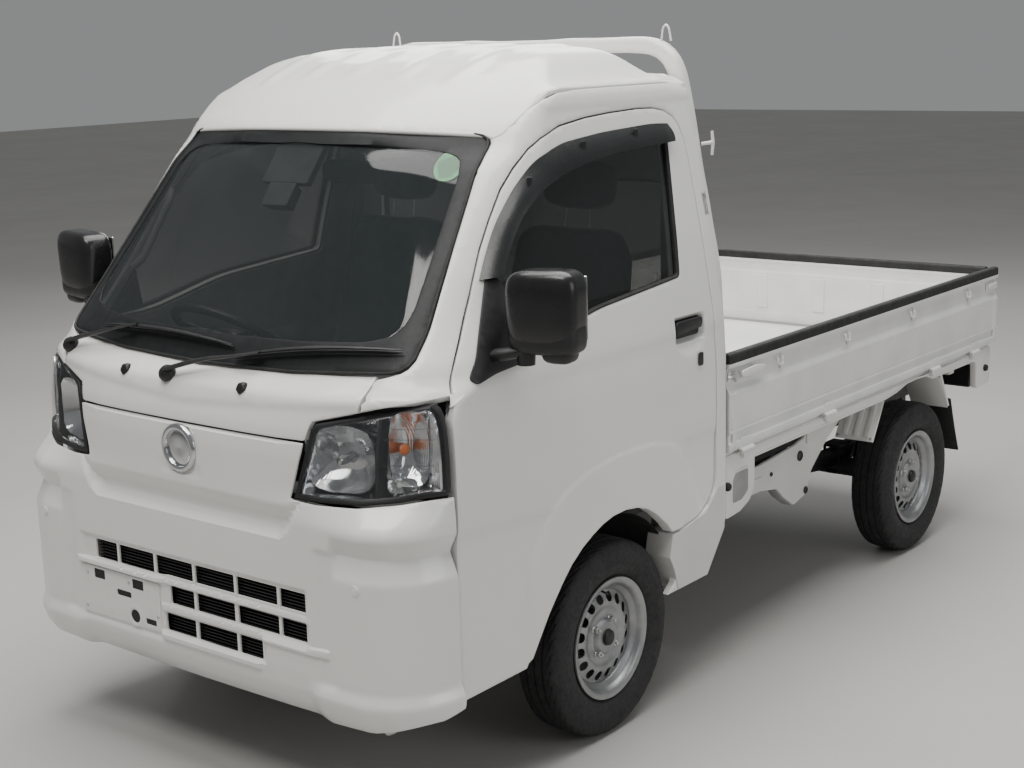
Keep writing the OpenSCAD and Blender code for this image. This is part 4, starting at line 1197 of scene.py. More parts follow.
def wheel_geo():
    g = Geo()

    def surf(P):
        r = np.hypot(P[:, 0], P[:, 1])
        x = np.interp(r, DISC[0], DISC[1])
        a = np.arctan2(P[:, 1], P[:, 0])
        # raised lips round the vents
        k = np.round(a / (math.pi / 8)) * (math.pi / 8)
        d = np.hypot(P[:, 0] - 108 * np.cos(k), P[:, 1] - 108 * np.sin(k))
        x = x + 1.8 * np.exp(-((d - 14.5) / 2.4) ** 2)
        return np.stack([x, P[:, 0], P[:, 1]], 1)
    circ = lambda r, n, c=(0, 0): np.array([(c[0] + r * math.cos(2 * math.pi * i / n), c[1] + r * math.sin(2 * math.pi * i / n)) for i in range(n)])
    holes = [circ(18.5, 28)] + [circ(13, 20, (108 * math.cos(i * math.pi / 8), 108 * math.sin(i * math.pi / 8))) for i in range(16)]
    rr = [24, 30, 36, 42, 46, 50, 54, 60, 67, 74, 78, 83, 88, 93, 124]
    ex = np.vstack([circ(r, max(24, int(r * 0.9))) for r in rr])
    p = patch(surf, [circ(128.5, 96)] + holes, [0.5], [0.5], thick=4.5, roll=1.0, closed=True, extra=ex)
    v = np.array(p.v)
    g.add(v, fix(v, p.f))
    bar = [(26, 127.5), (33, 131), (38, 140), (44, 144), (53, 147), (57, 152), (59, 160), (60, 166), (56, 167.5), (53, 164), (51, 156), (40, 151), (30, 140), (20, 137),
           (-26, 137), (-36, 150), (-50, 152), (-54, 167), (-60, 166), (-56, 148), (-34, 145), (-26, 131), (14, 130), (19, 127)]
    v, f = lathe(bar, 96, "X", (0, 0, 0), True)
    g.add(v, fix(v, f))
    for i in range(4):
        a = math.pi / 4 + i * math.pi / 2
        c = np.array([0, 50 * math.cos(a), 50 * math.sin(a)])
        hexa = [(c[1] + 9.6 * math.cos(k * math.pi / 3 + a), c[2] + 9.6 * math.sin(k * math.pi / 3 + a)) for k in range(6)]
        g.add(*prism(hexa, "X", 29, 44, 1.6), "steel")
        v, f = lathe([(43, 0.01), (43, 5.2), (50, 4.6), (51, 0.01)], 14, "X", c)
        g.add(v, fix(v, f), "steel")
        v, f = lathe([(29, 9), (29, 12.5), (32, 12), (34, 9)], 20, "X", c, True)
        g.add(v, fix(v, f), "steel")
    cap = [(31, 0.01), (31, 22), (48, 22), (53, 20.5), (56.5, 15), (57.5, 8), (57.8, 0.01)]
    v, f = lathe(cap, 36, "X")
    g.add(v, fix(v, f), "black")
    # valve and a balance weight
    v, f = tube([(40, 0, 136), (52, 0, 133), (60, 0, 130)], [3.4, 3.2, 2.6], 10)
    g.add(v, f, "black")
    v, f = lathe([(52, 146.5), (58, 152), (56, 149), (52, 143)], 24, "X", (0, 0, 0), True, 100, 112)
    g.add(v, fix(v, f), "steel")
    return g


def build_wheels():
    wg = wheel_geo()
    tv, tf = tyre_geo()
    for nm, sx, y in (("front_left", 1, -853), ("front_right", -1, -853), ("rear_left", 1, 1047), ("rear_right", -1, 1047)):
        g, t = Geo(), Geo()
        for q, m in zip(wg.f, wg.m):
            pass
        ang = {"front_left": 8, "front_right": 31, "rear_left": 17, "rear_right": 44}[nm]
        v = rot(np.array(wg.v), "X", ang)
        g.v = [((a + 652), b + y, c + 268) for a, b, c in v]
        g.f, g.m = list(wg.f), list(wg.m)
        v = rot(tv, "X", ang * 1.8)
        t.v = [((a + 652), b + y, max(c + 268, 0.35)) for a, b, c in v]
        t.f, t.m = list(tf), [None] * len(tf)
        if sx < 0:
            g, t = g.mirrored(), t.mirrored()
        body = "wheel_" + nm
        emit("rim_" + nm, g, body, "rim", [nm + "_wheel"], sharp=35)
        emit("tyre_" + nm, t, body, "tyre", [nm + "_tyre"], sharp=30)


# ---------------------------------------------------------------- load bed
def gate_section(out=737.5):
    """outline across a gate: distance out, z"""
    o = [(-1.5, 657), (-0.2, 664), (-0.2, 679), (-5, 683), (-5, 705), (-0.2, 710), (-0.2, 716), (-2.5, 719), (-0.6, 723), (-0.2, 826), (-3, 834), (-11, 847), (-11.5, 852), (-11.5, 897), (-9, 901), (-0.4, 904), (-0.2, 916)]
    i = [(-28, 916), (-28, 904), (-23, 900), (-21, 880), (-21, 868), (-26, 860), (-26, 700), (-28, 690), (-28, 657)]
    return [(out + a, z) for a, z in o + i]


def gate_rubber(out=737.5):
    return [(out + a, z) for a, z in [(0, 915), (0, 938), (-3, 943.5), (-8, 945), (-22, 945), (-27, 943.5), (-30, 938), (-30, 915), (-26, 914), (-4, 914)]]


def build_bed():
    # deck with pressed lengthwise ribs
    ribs = [-600, -480, -360, -240, -120, 0, 120, 240, 360, 480, 600]

    def deck(P):
        z = np.full(len(P), 650.0)
        for c in ribs:
            z -= 3.4 * np.exp(-((P[:, 0] - c) / 9.0) ** 4) * window(P[:, 1], -190, 1610, 30)
        z -= 2.0 * window(P[:, 1], 735, 747, 6)
        return np.stack([P[:, 0], P[:, 1], z], 1)
    cols = np.unique(np.concatenate([np.array([c + d for c in ribs for d in (-16, -10, -7, 0, 7, 10, 16)], float), span(-690, 690, 30)]))
    g = patch(deck, [ccw(dense(rounded([(-698, -235), (698, -235), (698, 1648), (-698, 1648)], 6), 40))], cols, cuts([-235, 12, -170, 60, 700, 6, 780, 60, 1580, 12, 1648]), thick=20, roll=2, closed=True)
    emit("bed_deck", g, "truck", "bed", ["bed_floor"], sharp=35)
    fr = Geo()
    for y in (-200, 60, 250, 480, 700):
        fr.add(*block(-690, 690, y - 22, y + 22, 590, 632, 5))
    for y in (1400, 1620):
        fr.add(*block(-690, 690, y - 22, y + 22, 576, 632, 5))
    fr.add(*block(-430, 430, 1040, 1080, 590, 632, 5))
    for s in (1, -1):
        for x0, x1 in ((372, 428),):
            a, b = sorted((s * x0, s * x1))
            fr.add(*block(a, b, -235, 1650, 502, 634, 6))
    emit("bed_crossmembers", fr, "truck", "white_inner", sharp=40)
    rail = Geo()
    low = [(-286, 641), (-286, 456), (-275, 453), (-205, 458), (-150, 478), (-124, 505), (-119, 545), (-119, 606), (-108, 612), (760, 612), (850, 620), (930, 636), (1005, 638.5), (1090, 634), (1150, 614), (1490, 612), (1538, 600), (1548, 505), (1560, 496), (1660, 498), (1676, 512), (1676, 641)]
    rail.add(*prism(dense(rounded(low, 6, 3), 60), "X", 700, 724, 3))
    rail.add(*prism([(-280, 641), (1670, 641), (1670, 649), (-280, 649)], "X", 694, 716, 2))
    # recessed tool opening in the front box, with its frame
    rail.add(*prism(rounded([(-258, 486), (-196, 486), (-154, 512), (-154, 590), (-238, 590), (-258, 566)], 8), "X", 722, 725.5, 1))
    rail.add(*prism(rounded([(-250, 494), (-199, 494), (-162, 516), (-162, 582), (-235, 582), (-250, 562)], 8), "X", 724, 726.6, 0.8), "cabin_light")
    for y, z in ((-150, 870), ):
        pass
    rail.with_mirror()
    # turned edge under the rail
    ed = Geo()
    ed.add(*tube(np.array([(722, y, z) for y, z in [(-119, 610), (300, 611), (760, 611), (850, 619), (930, 635), (1005, 637), (1090, 633), (1150, 613), (1490, 611)]]), 4.5, 8))
    ed.with_mirror()
    rail.v, rail.f, rail.m = (lambda a: (a.v, a.f, a.m))(rail.add(ed.v, ed.f))
    rail.add(*block(-722, 722, 1652, 1676, 592, 640, 5))
    emit("bed_side_rails", rail, "truck", "white", sharp=35)
    buf = Geo()
    for y, z in ((-281, 552), (1625, 565)):
        v, f = lathe([(720, 0.01), (720, 13), (730, 13), (735, 10), (736.5, 5), (736.8, 0.01)], 24, "X", (0, y, z))
        buf.add(v, fix(v, f))
    buf.with_mirror()
    emit("gate_buffers", buf, "truck", "rubber")

    # side gates
    sec, rub = rounded(gate_section(), 1.2, 2), rounded(gate_rubber(), 2, 2)
    y0, y1 = -289.0, 1694.0
    g = Geo()
    g.add(*prism(sec, "Y", y0, y1, 0))
    for y in (y0 + 28, y1 - 24):
        g.add(*block(734, 739.2, y - 9, y + 9, 668, 828, 2.5))
    # inside pressings
    for y in span(-150, 1560, 285):
        g.add(*block(706.8, 713, y - 26, y + 26, 712, 850, 3))
    for y in (8, 448, 938, 1417):
        g.add(*block(725, 728.5, y - 26, y + 26, 862, 893, 1.5))
        g.add(*tube(arc_path([(727, y - 14, 886), (737, y - 14, 886), (738, y - 14, 868), (738, y + 12, 866), (738, y + 14, 886), (727, y + 14, 888)], 6, 4), 3.0, 8), "white")
        g.add(*block(727, 735, y + 9, y + 17, 850, 895, 2))
    hin = Geo()
    for y in (-195, 326, 1128, 1486):
        for k in (-1, 0, 1):
            v, f = lathe([(-11.4, 0.01), (-11.4, 7.0), (-10.6, 8.0), (10.6, 8.0), (11.4, 7.0), (11.4, 0.01)], 20, "Y", (741, y + k * 23.5, 650))
            (g if k else hin).add(v, fix(v, f), "bed")
        g.add(*prism(rounded([(y - 35, 652), (y + 35, 652), (y + 30, 688), (y - 30, 688)], 5), "X", 735.5, 739.6, 1.2))
        hin.add(*block(724, 738, y - 11, y + 11, 622, 652, 2.5))
        v, f = lathe([(-40, 0.01), (-40, 4.2), (40, 4.2), (40, 0.01)], 14, "Y", (741, y, 650))
        hin.add(v, fix(v, f), "steel")
    # latch at the front end
    lat = Geo()
    lat.add(*block(727, 731, -284, -160, 862, 894, 2))
    lat.add(*prism(rounded([(-268, 868), (-240, 868), (-205, 866), (-205, 890), (-268, 890)], 5), "X", 730, 741, 2), "steel")
    lat.add(*prism(rounded([(-228, 870), (-140, 862), (-92, 868), (-88, 884), (-140, 893), (-228, 888)], 8), "X", 736, 745, 2.5))
    lat.add(*tube([(741, -262, 862), (741, -262, 896)], 5, 12), "steel")
    lat.add(*tube(arc_path([(741, -262, 879), (742, -290, 879), (736, -296, 879)], 8), 4, 10), "steel")
    # latch at the rear end
    lat.add(*block(727, 731, 1600, 1690, 862, 894, 2))
    lat.add(*prism(rounded([(1612, 868), (1684, 866), (1684, 890), (1612, 886)], 5), "X", 730, 739, 2))
    r = Geo()
    r.add(*prism(rub, "Y", y0 + 0.5, y1 - 0.5, 1.5))
    for s, nm in ((1, "left"), (-1, "right")):
        f = (lambda q: q) if s > 0 else (lambda q: q.mirrored())
        b = "side_gate_" + nm
        emit("gate_panel_" + nm, f(g), b, "bed", [b], sharp=30)
        emit("gate_rubber_" + nm, f(r), b, "rubber", sharp=40)
        emit("gate_latch_" + nm, f(lat), b, "bed", sharp=35)
        emit("gate_hinges_" + nm, f(hin), "truck", "bed", sharp=35)

    # tailgate: the same section, turned to face the rear
    t = Geo()
    v, f = prism(sec, "Y", -699, 699, 0)
    v = np.stack([v[:, 1], v[:, 0] - 737.5 + 1687.3, v[:, 2]], 1)
    t.add(v, fix(v, f))
    for x in span(-520, 520, 260):
        t.add(*block(x - 26, x + 26, 1656.8, 1662, 712, 850, 3))
    for x in (-420, -140, 140, 420):
        t.add(*block(x - 26, x + 26, 1675, 1679, 862, 893, 1.5))
        t.add(*tube(arc_path([(x - 14, 1677, 886), (x - 14, 1687, 886), (x - 14, 1688, 868), (x + 14, 1688, 866), (x + 14, 1677, 888)], 6, 4), 3.0, 8))
    th = Geo()
    for x in (-500, 0, 500):
        for k in (-1, 0, 1):
            v, f = lathe([(-11.4, 0.01), (-11.4, 4.9), (-10.6, 5.8), (10.6, 5.8), (11.4, 4.9), (11.4, 0.01)], 20, "X", (x + k * 23.5, 1689.5, 650))
            (t if k else th).add(v, fix(v, f))
        t.add(*block(x - 35, x + 35, 1686, 1689.6, 652, 690, 1.5))
        th.add(*block(x - 11, x + 11, 1674, 1686, 622, 652, 2.5))
    tr = Geo()
    v, f = prism(rub, "Y", -698, 698, 1.5)
    v = np.stack([v[:, 1], v[:, 0] - 737.5 + 1687.5, v[:, 2]], 1)
    tr.add(v, fix(v, f))
    emit("tailgate_panel", t, "tailgate", "bed", ["tailgate"], sharp=30)
    emit("tailgate_rubber", tr, "tailgate", "rubber", sharp=40)
    emit("tailgate_hinges", th, "truck", "bed", sharp=35)


def profile_tube(path, half, depth, n=20, p=3.6):
    """closed sweep of a rounded oblong in the plane y = const path: half-width across the path, half-depth along y"""
    q = np.array(path, float)
    t = np.gradient(q, axis=0)
    t /= np.linalg.norm(t, axis=1)[:, None]
    vs, fs = [], []
    for i in range(len(q)):
        nrm = np.array([t[i][2], 0, -t[i][0]])
        for k in range(n):
            a = 2 * math.pi * k / n
            c, s = math.cos(a), math.sin(a)
            r = (abs(c) ** p + abs(s) ** p) ** (-1 / p)
            vs.append(q[i] + nrm * (c * r * half[i]) + np.array([0, 1, 0]) * (s * r * depth))
    for i in range(len(q) - 1):
        for k in range(n):
            fs.append((i * n + k, i * n + (k + 1) % n, (i + 1) * n + (k + 1) % n, (i + 1) * n + k))
    fs.append(tuple(range(n)))
    fs.append(tuple((len(q) - 1) * n + k for k in range(n)))
    return np.array(vs), fix(vs, fs)


def build_guard():
    OUT = [(702, 655), (702, 893), (700, 988), (692, 1058), (688, 1162), (674, 1244), (662, 1298), (647, 1379), (630, 1455), (617, 1529), (606, 1593), (590, 1673), (570, 1752), (551, 1787), (524, 1812), (490, 1826), (455, 1831.5), (380, 1832.5), (0, 1832.5)]
    INN = [(655, 655), (655, 893), (654, 988), (648, 1058), (641, 1162), (627, 1244), (614, 1298), (599, 1379), (582, 1455), (570, 1529), (560, 1593), (544, 1673), (531, 1721), (518, 1751), (500, 1774), (470, 1788), (430, 1793), (380, 1794), (0, 1794)]
    A, B = np.array(OUT, float), np.array(INN, float)

    def rs(p, n=90):
        d = np.concatenate([[0], np.cumsum(np.linalg.norm(np.diff(p, axis=0), axis=1))])
        d /= d[-1]
        u = np.linspace(0, 1, n)
        q = np.stack([np.interp(u, d, p[:, 0]), np.interp(u, d, p[:, 1])], 1)
        for _ in range(3):
            q[1:-1] = q[1:-1] * 0.5 + (q[:-2] + q[2:]) * 0.25
        return q
    mid = (A + B) / 2
    hw = np.linalg.norm(A - B, axis=1) / 2
    m2 = rs(mid)
    h2 = np.interp(np.linspace(0, 1, 90), np.linspace(0, 1, len(hw)), hw)
    h2 = np.clip(h2, 18, 24)
    path = np.array([(x, -262.5, z) for x, z in m2])
    path = np.vstack([path, (path[:-1] * [-1, 1, 1])[::-1]])
    h = np.concatenate([h2, h2[:-1][::-1]])
    g = Geo()
    g.add(*profile_tube(path, h, 21))
    # front board with beads
    def board(P):
        x, z = P[:, 0], P[:, 1]
        y = np.full(len(P), -252.0)
        y -= 6 * window(z, 700, 900, 24) * window(np.abs(x), 40, 300, 24)
        y -= 6 * window(z, 700, 900, 24) * window(np.abs(x), 340, 610, 24)
        return np.stack([x, y, z], 1)
    b = patch(board, [ccw(dense([(-652, 654), (652, 654), (652, 942), (-652, 942)], 40))], cuts([-652, 16, 652]), cuts([654, 12, 942]), thick=14, roll=2, closed=True)
    v = np.array(b.v)
    if v[:, 1].max() > -245:
        v[:, 1] = -504 - v[:, 1]
        b.f = [tuple(reversed(q)) for q in b.f]
    g.add(v, b.f)
    g.add(*block(-655, 655, -280, -245, 940, 975, 7))
    for s in (1, -1):
        # top loop hooks and the stay hooks on the posts
        p = arc_path([(s * 529, -262, 1822), (s * 522, -262, 1858), (s * 512, -262, 1869), (s * 502, -262, 1858), (s * 497, -262, 1822)], 9, 5)
        g.add(*tube(p, 3.0, 10))
        p = [(s * 628, -262, 1536), (s * 642, -250, 1538), (s * 652, -240, 1540)]
        g.add(*tube(p, 5, 10))
        g.add(*tube([(s * 650, -241, 1504), (s * 652, -239, 1540), (s * 650, -241, 1571)], [4, 5, 4], 10))
        g.add(*block(min(s * 655, s * 706), max(s * 655, s * 706), -287, -238, 655, 690, 3))
    emit("guard_rack", g, "truck", "white", ["guard_frame"], sharp=35)


def build_rear():
    g = Geo()
    # ribbed mudguard ahead of the tyre, and its twin behind, holding the flap
    for base in ([(694, 472), (698, 470), (778, 598), (774, 600)], [(1224, 600), (1229, 600), (1314, 470), (1309, 470)]):
        g.add(*prism(base, "X", 572, 714, 1.2))
    def plate(y0, z0, y1, z1, xs, off):
        for x in xs:
            d = unit((y1 - y0, z1 - z0))
            n = np.array([-d[1], d[0]]) * off
            a, b = np.array([y0, z0]) + d * 14, np.array([y1, z1]) - d * 14
            q = [a, b, b + n, a + n]
            g.add(*prism([tuple(c) for c in q], "X", x - 9, x + 9, 1.5))
    plate(694, 472, 774, 600, (606, 646, 686), 5)
    plate(1314, 470, 1229, 600, (606, 646, 686), -5)
    for x, y, z in ((582, 700, 482), (704, 700, 482)):
        g.add(*tube([(x, y - 6, z), (x, y + 6, z)], 4, 10), "steel")
    g.add(*tube([(716, 1232, 612), (716, 1268, 545), (716, 1307, 480)], 5.5, 10))
    for yy in (694, 1268):
        g.add(*block(640, 652, yy - 4, yy + 4, 598 if yy < 1000 else 540, 630, 2))
    g.with_mirror()
    emit("mudguard_plates", g, "truck", "white", ["rear_mudguards"], sharp=35)
    fl = Geo()
    n = 12
    pth = [(1320 + 86 * (i / n), 500 - 212 * (i / n) - 8 * math.sin(math.pi * i / n)) for i in range(n + 1)]
    back = [(y + 6.5, z + 2) for y, z in pth]
    fl.add(*prism(pth + back[::-1], "X", 576, 720, 1.5))
    fl.with_mirror()
    emit("rubber_flaps", fl, "truck", "rubber", ["mud_flaps"])
    # rear lamps: housing with three lenses
    h, r, a, w = Geo(), Geo(), Geo(), Geo()
    h.add(*block(468, 662, 1634, 1668, 478, 570, 5))
    r.add(*block(474, 548, 1664, 1677, 484, 564, 4))
    a.add(*block(551, 606, 1664, 1677, 484, 564, 4))
    w.add(*block(609, 656, 1664, 1677, 484, 564, 4))
    for x in (480, 560, 650):
        h.add(*block(x - 12, x + 12, 1636, 1650, 566, 592, 2), "white_inner")
    h.with_mirror(), r.with_mirror(), a.with_mirror(), w.with_mirror()
    emit("rear_lamp_housing", h, "truck", "black", sharp=40)
    emit("rear_lamp_red", r, "truck", "red", ["tail_lights"])
    emit("rear_lamp_amber", a, "truck", "amber")
    emit("rear_lamp_clear", w, "truck", "clear")
    # rear plate holder, with no plate, and its two small lamps
    pl = Geo()
    pl.add(*prism(rounded([(-180, 470), (180, 470), (180, 566), (-180, 566)], 8), "Y", 1662, 1668, 1.5), "white")
    for x in (-105, 105):
        v, f = lathe([(1667, 0.01), (1667, 6), (1671, 5), (1672, 0.01)], 14, "Y", (x, 0, 540))
        pl.add(v, fix(v, f), "steel")
    for x in (-70, 70):
        pl.add(*block(x - 24, x + 24, 1650, 1674, 572, 590, 5), "black")
    emit("rear_plate_holder", pl, "truck", "white")


def build_chassis():
    g = Geo()
    # white hanger plates and side members seen under the bed
    out = [(-118, 452), (39, 449), (140, 432), (182, 395), (250, 352), (328, 370), (346, 398), (368, 442), (470, 520), (575, 575), (620, 608), (334, 608), (322, 562), (250, 548), (44, 534), (-118, 532)]
    g.add(*prism(dense(rounded(out, 7, 3), 60), "X", 644, 656, 3))
    g.add(*prism(rounded([(150, 424), (182, 392), (250, 350), (258, 356), (190, 400), (158, 432)], 3), "X", 612, 646, 1.5), "cabin_light")
    g.add(*prism(rounded([(368, 442), (470, 520), (575, 575), (571, 582), (464, 528), (361, 449)], 2), "X", 618, 646, 1.5))
    g.add(*block(655, 662, 326, 334, 540, 606, 2))
    g.add(*block(655, 659, -118, 40, 486, 498, 1.5))
    for y, z, r in ((286, 508, 17), (326, 385, 12), (100, 490, 7)):
        v, f = lathe([(655, 0.01), (655, r), (659, r), (661, r - 3), (657, r - 5), (657, 0.01)], 26, "X", (0, y, z))
        g.add(v, fix(v, f), "chassis")
    g.with_mirror()
    emit("frame_hangers", g, "truck", "white_inner", sharp=35)

    d = Geo()
    # leaf clamps, shackles, shock absorbers
    for s in (1, -1):
        for y in (1012, 1082):
            d.add(*tube(arc_path([(s * 372, y, 352), (s * 372, y, 248), (s * 428, y, 248), (s * 428, y, 352)], 14), 5.5, 10))
        d.add(*block(min(s * 364, s * 436), max(s * 364, s * 436), 1000, 1094, 344, 354, 3))
        d.add(*tube([(s * 452, 1110, 250), (s * 446, 1180, 420)], 19, 18))
        d.add(*tube([(s * 448, 1160, 372), (s * 440, 1235, 560)], 26, 18))
        for i, (k, l) in enumerate(((470, 0), (380, 10), (280, 20))):
            pts = []
            for t in np.linspace(-1, 1, 21):
                y = 1047 + t * k
                u = (y - 1047) / 520
                pts.append((s * 400, y, 318 + 82 * u * u - 14 - l))
            d.add(*profile_leaf(pts, 27, 4.2))
        d.add(*tube([(s * 400, 520, 402), (s * 400, 520, 440)], 9, 12))
    # prop shaft, exhaust and silencer, fuel filler lines
    d.add(*tube([(0, -140, 372), (0, -60, 368), (0, 900, 300), (0, 950, 290)], [30, 24, 24, 34], 20))
    d.add(*tube(arc_path([(-150, -380, 300), (-240, -120, 290), (-250, 300, 330), (-250, 700, 420), (-240, 900, 505)], 80, 8), 19, 14), "cast")
    v, f = lathe([(-170, 0.01), (-165, 62), (-150, 76), (150, 76), (165, 62), (170, 0.01)], 36, "X", (-60, 1475, 470))
    d.add(v, fix(v, f), "cast")
    d.add(*tube(arc_path([(-240, 900, 505), (-250, 1180, 520), (-240, 1400, 480), (-190, 1475, 470)], 70, 8), 19, 14), "cast")
    d.add(*tube(arc_path([(90, 1475, 450), (260, 1500, 430), (300, 1600, 400), (300, 1668, 392)], 60, 8), 18, 14), "cast")
    emit("underbody_parts", d, "truck", "chassis", sharp=35)
    # brake drums on the rear wheels, discs at the front
    for nm, s, y in (("left", 1, 1047), ("right", -1, 1047)):
        b = Geo()
        v, f = lathe([(622, 16), (622, 60), (622, 112), (616, 118), (590, 118), (588, 122), (586, 118), (586, 16)], 60, "X", (0, y, 268), True)
        b.add(v, fix(v, f))
        b = b if s > 0 else b.mirrored()
        emit("brake_drum_" + nm, b, "wheel_rear_" + nm, "cast")
        b = Geo()
        v, f = lathe([(640, 17), (640, 60), (622, 66), (622, 112), (612, 112), (612, 66), (608, 60), (608, 17)], 60, "X", (0, -853, 268), True)
        b.add(v, fix(v, f))
        b = b if s > 0 else b.mirrored()
        emit("brake_disc_" + nm, b, "wheel_front_" + nm, "cast")
        c = Geo()
        c.add(*block(602, 632, -908, -868, 330, 372, 6) if False else block(596, 606, -905, -800, 320, 384, 6))
        # strut: spring coil and damper
        coil = []
        for t in np.linspace(0, 6.5 * 2 * math.pi, 150):
            coil.append((545 + 46 * math.cos(t), -853 + 46 * math.sin(t), 420 + 150 * t / (13 * math.pi)))
        c.add(*tube(coil, 5.5, 8))
        v, f = lathe([(330, 0.01), (330, 27), (440, 27), (446, 14), (577, 14), (577, 0.01)], 24, "Z", (545, -853, 0))
        c.add(v, fix(v, f))
        c = c if s > 0 else c.mirrored()
        emit("strut_" + nm, c, "steer_" + nm, "chassis", sharp=40)
    # wheel house liners
    for s, nm in ((1, "left"), (-1, "right")):
        def liner(P):
            a = P[:, 0] / 300.0
            return np.stack([P[:, 1], -853 + 346 * np.cos(a), 268 + 338 * np.sin(a)], 1)
        L = patch(liner, [ccw(dense([(45, 440), (900, 440), (900, 690), (45, 690)], 30))], cuts([45, 24, 900]), cuts([440, 28, 690]), thick=3, roll=1, closed=True)
        v = np.array(L.v)
        L2 = Geo()
        L2.add(v, fix(v, L.f))
        emit("wheelhouse_" + nm, L2 if s > 0 else L2.mirrored(), "truck", "black", sharp=50)


def profile_leaf(pts, w, t):
    q = np.array(pts, float)
    vs, fs = [], []
    for x, y, z in q:
        for a, b in ((-1, -1), (1, -1), (1, 1), (-1, 1)):
            vs.append((x + a * w, y, z + b * t))
    n = len(q)
    for i in range(n - 1):
        for k in range(4):
            fs.append((i * 4 + k, i * 4 + (k + 1) % 4, (i + 1) * 4 + (k + 1) % 4, (i + 1) * 4 + k))
    fs += [(0, 1, 2, 3), tuple((n - 1) * 4 + k for k in range(4))]
    return np.array(vs), fix(vs, fs)


# ---------------------------------------------------------------- lamps, badge, wipers
def on_nose(x, z, d=0.0, disp=None):
    S, N = frame_of(front_base if disp is None else displaced(front_base, disp), fx([(x, z)]))
    return S[0] + N[0] * d, N[0]


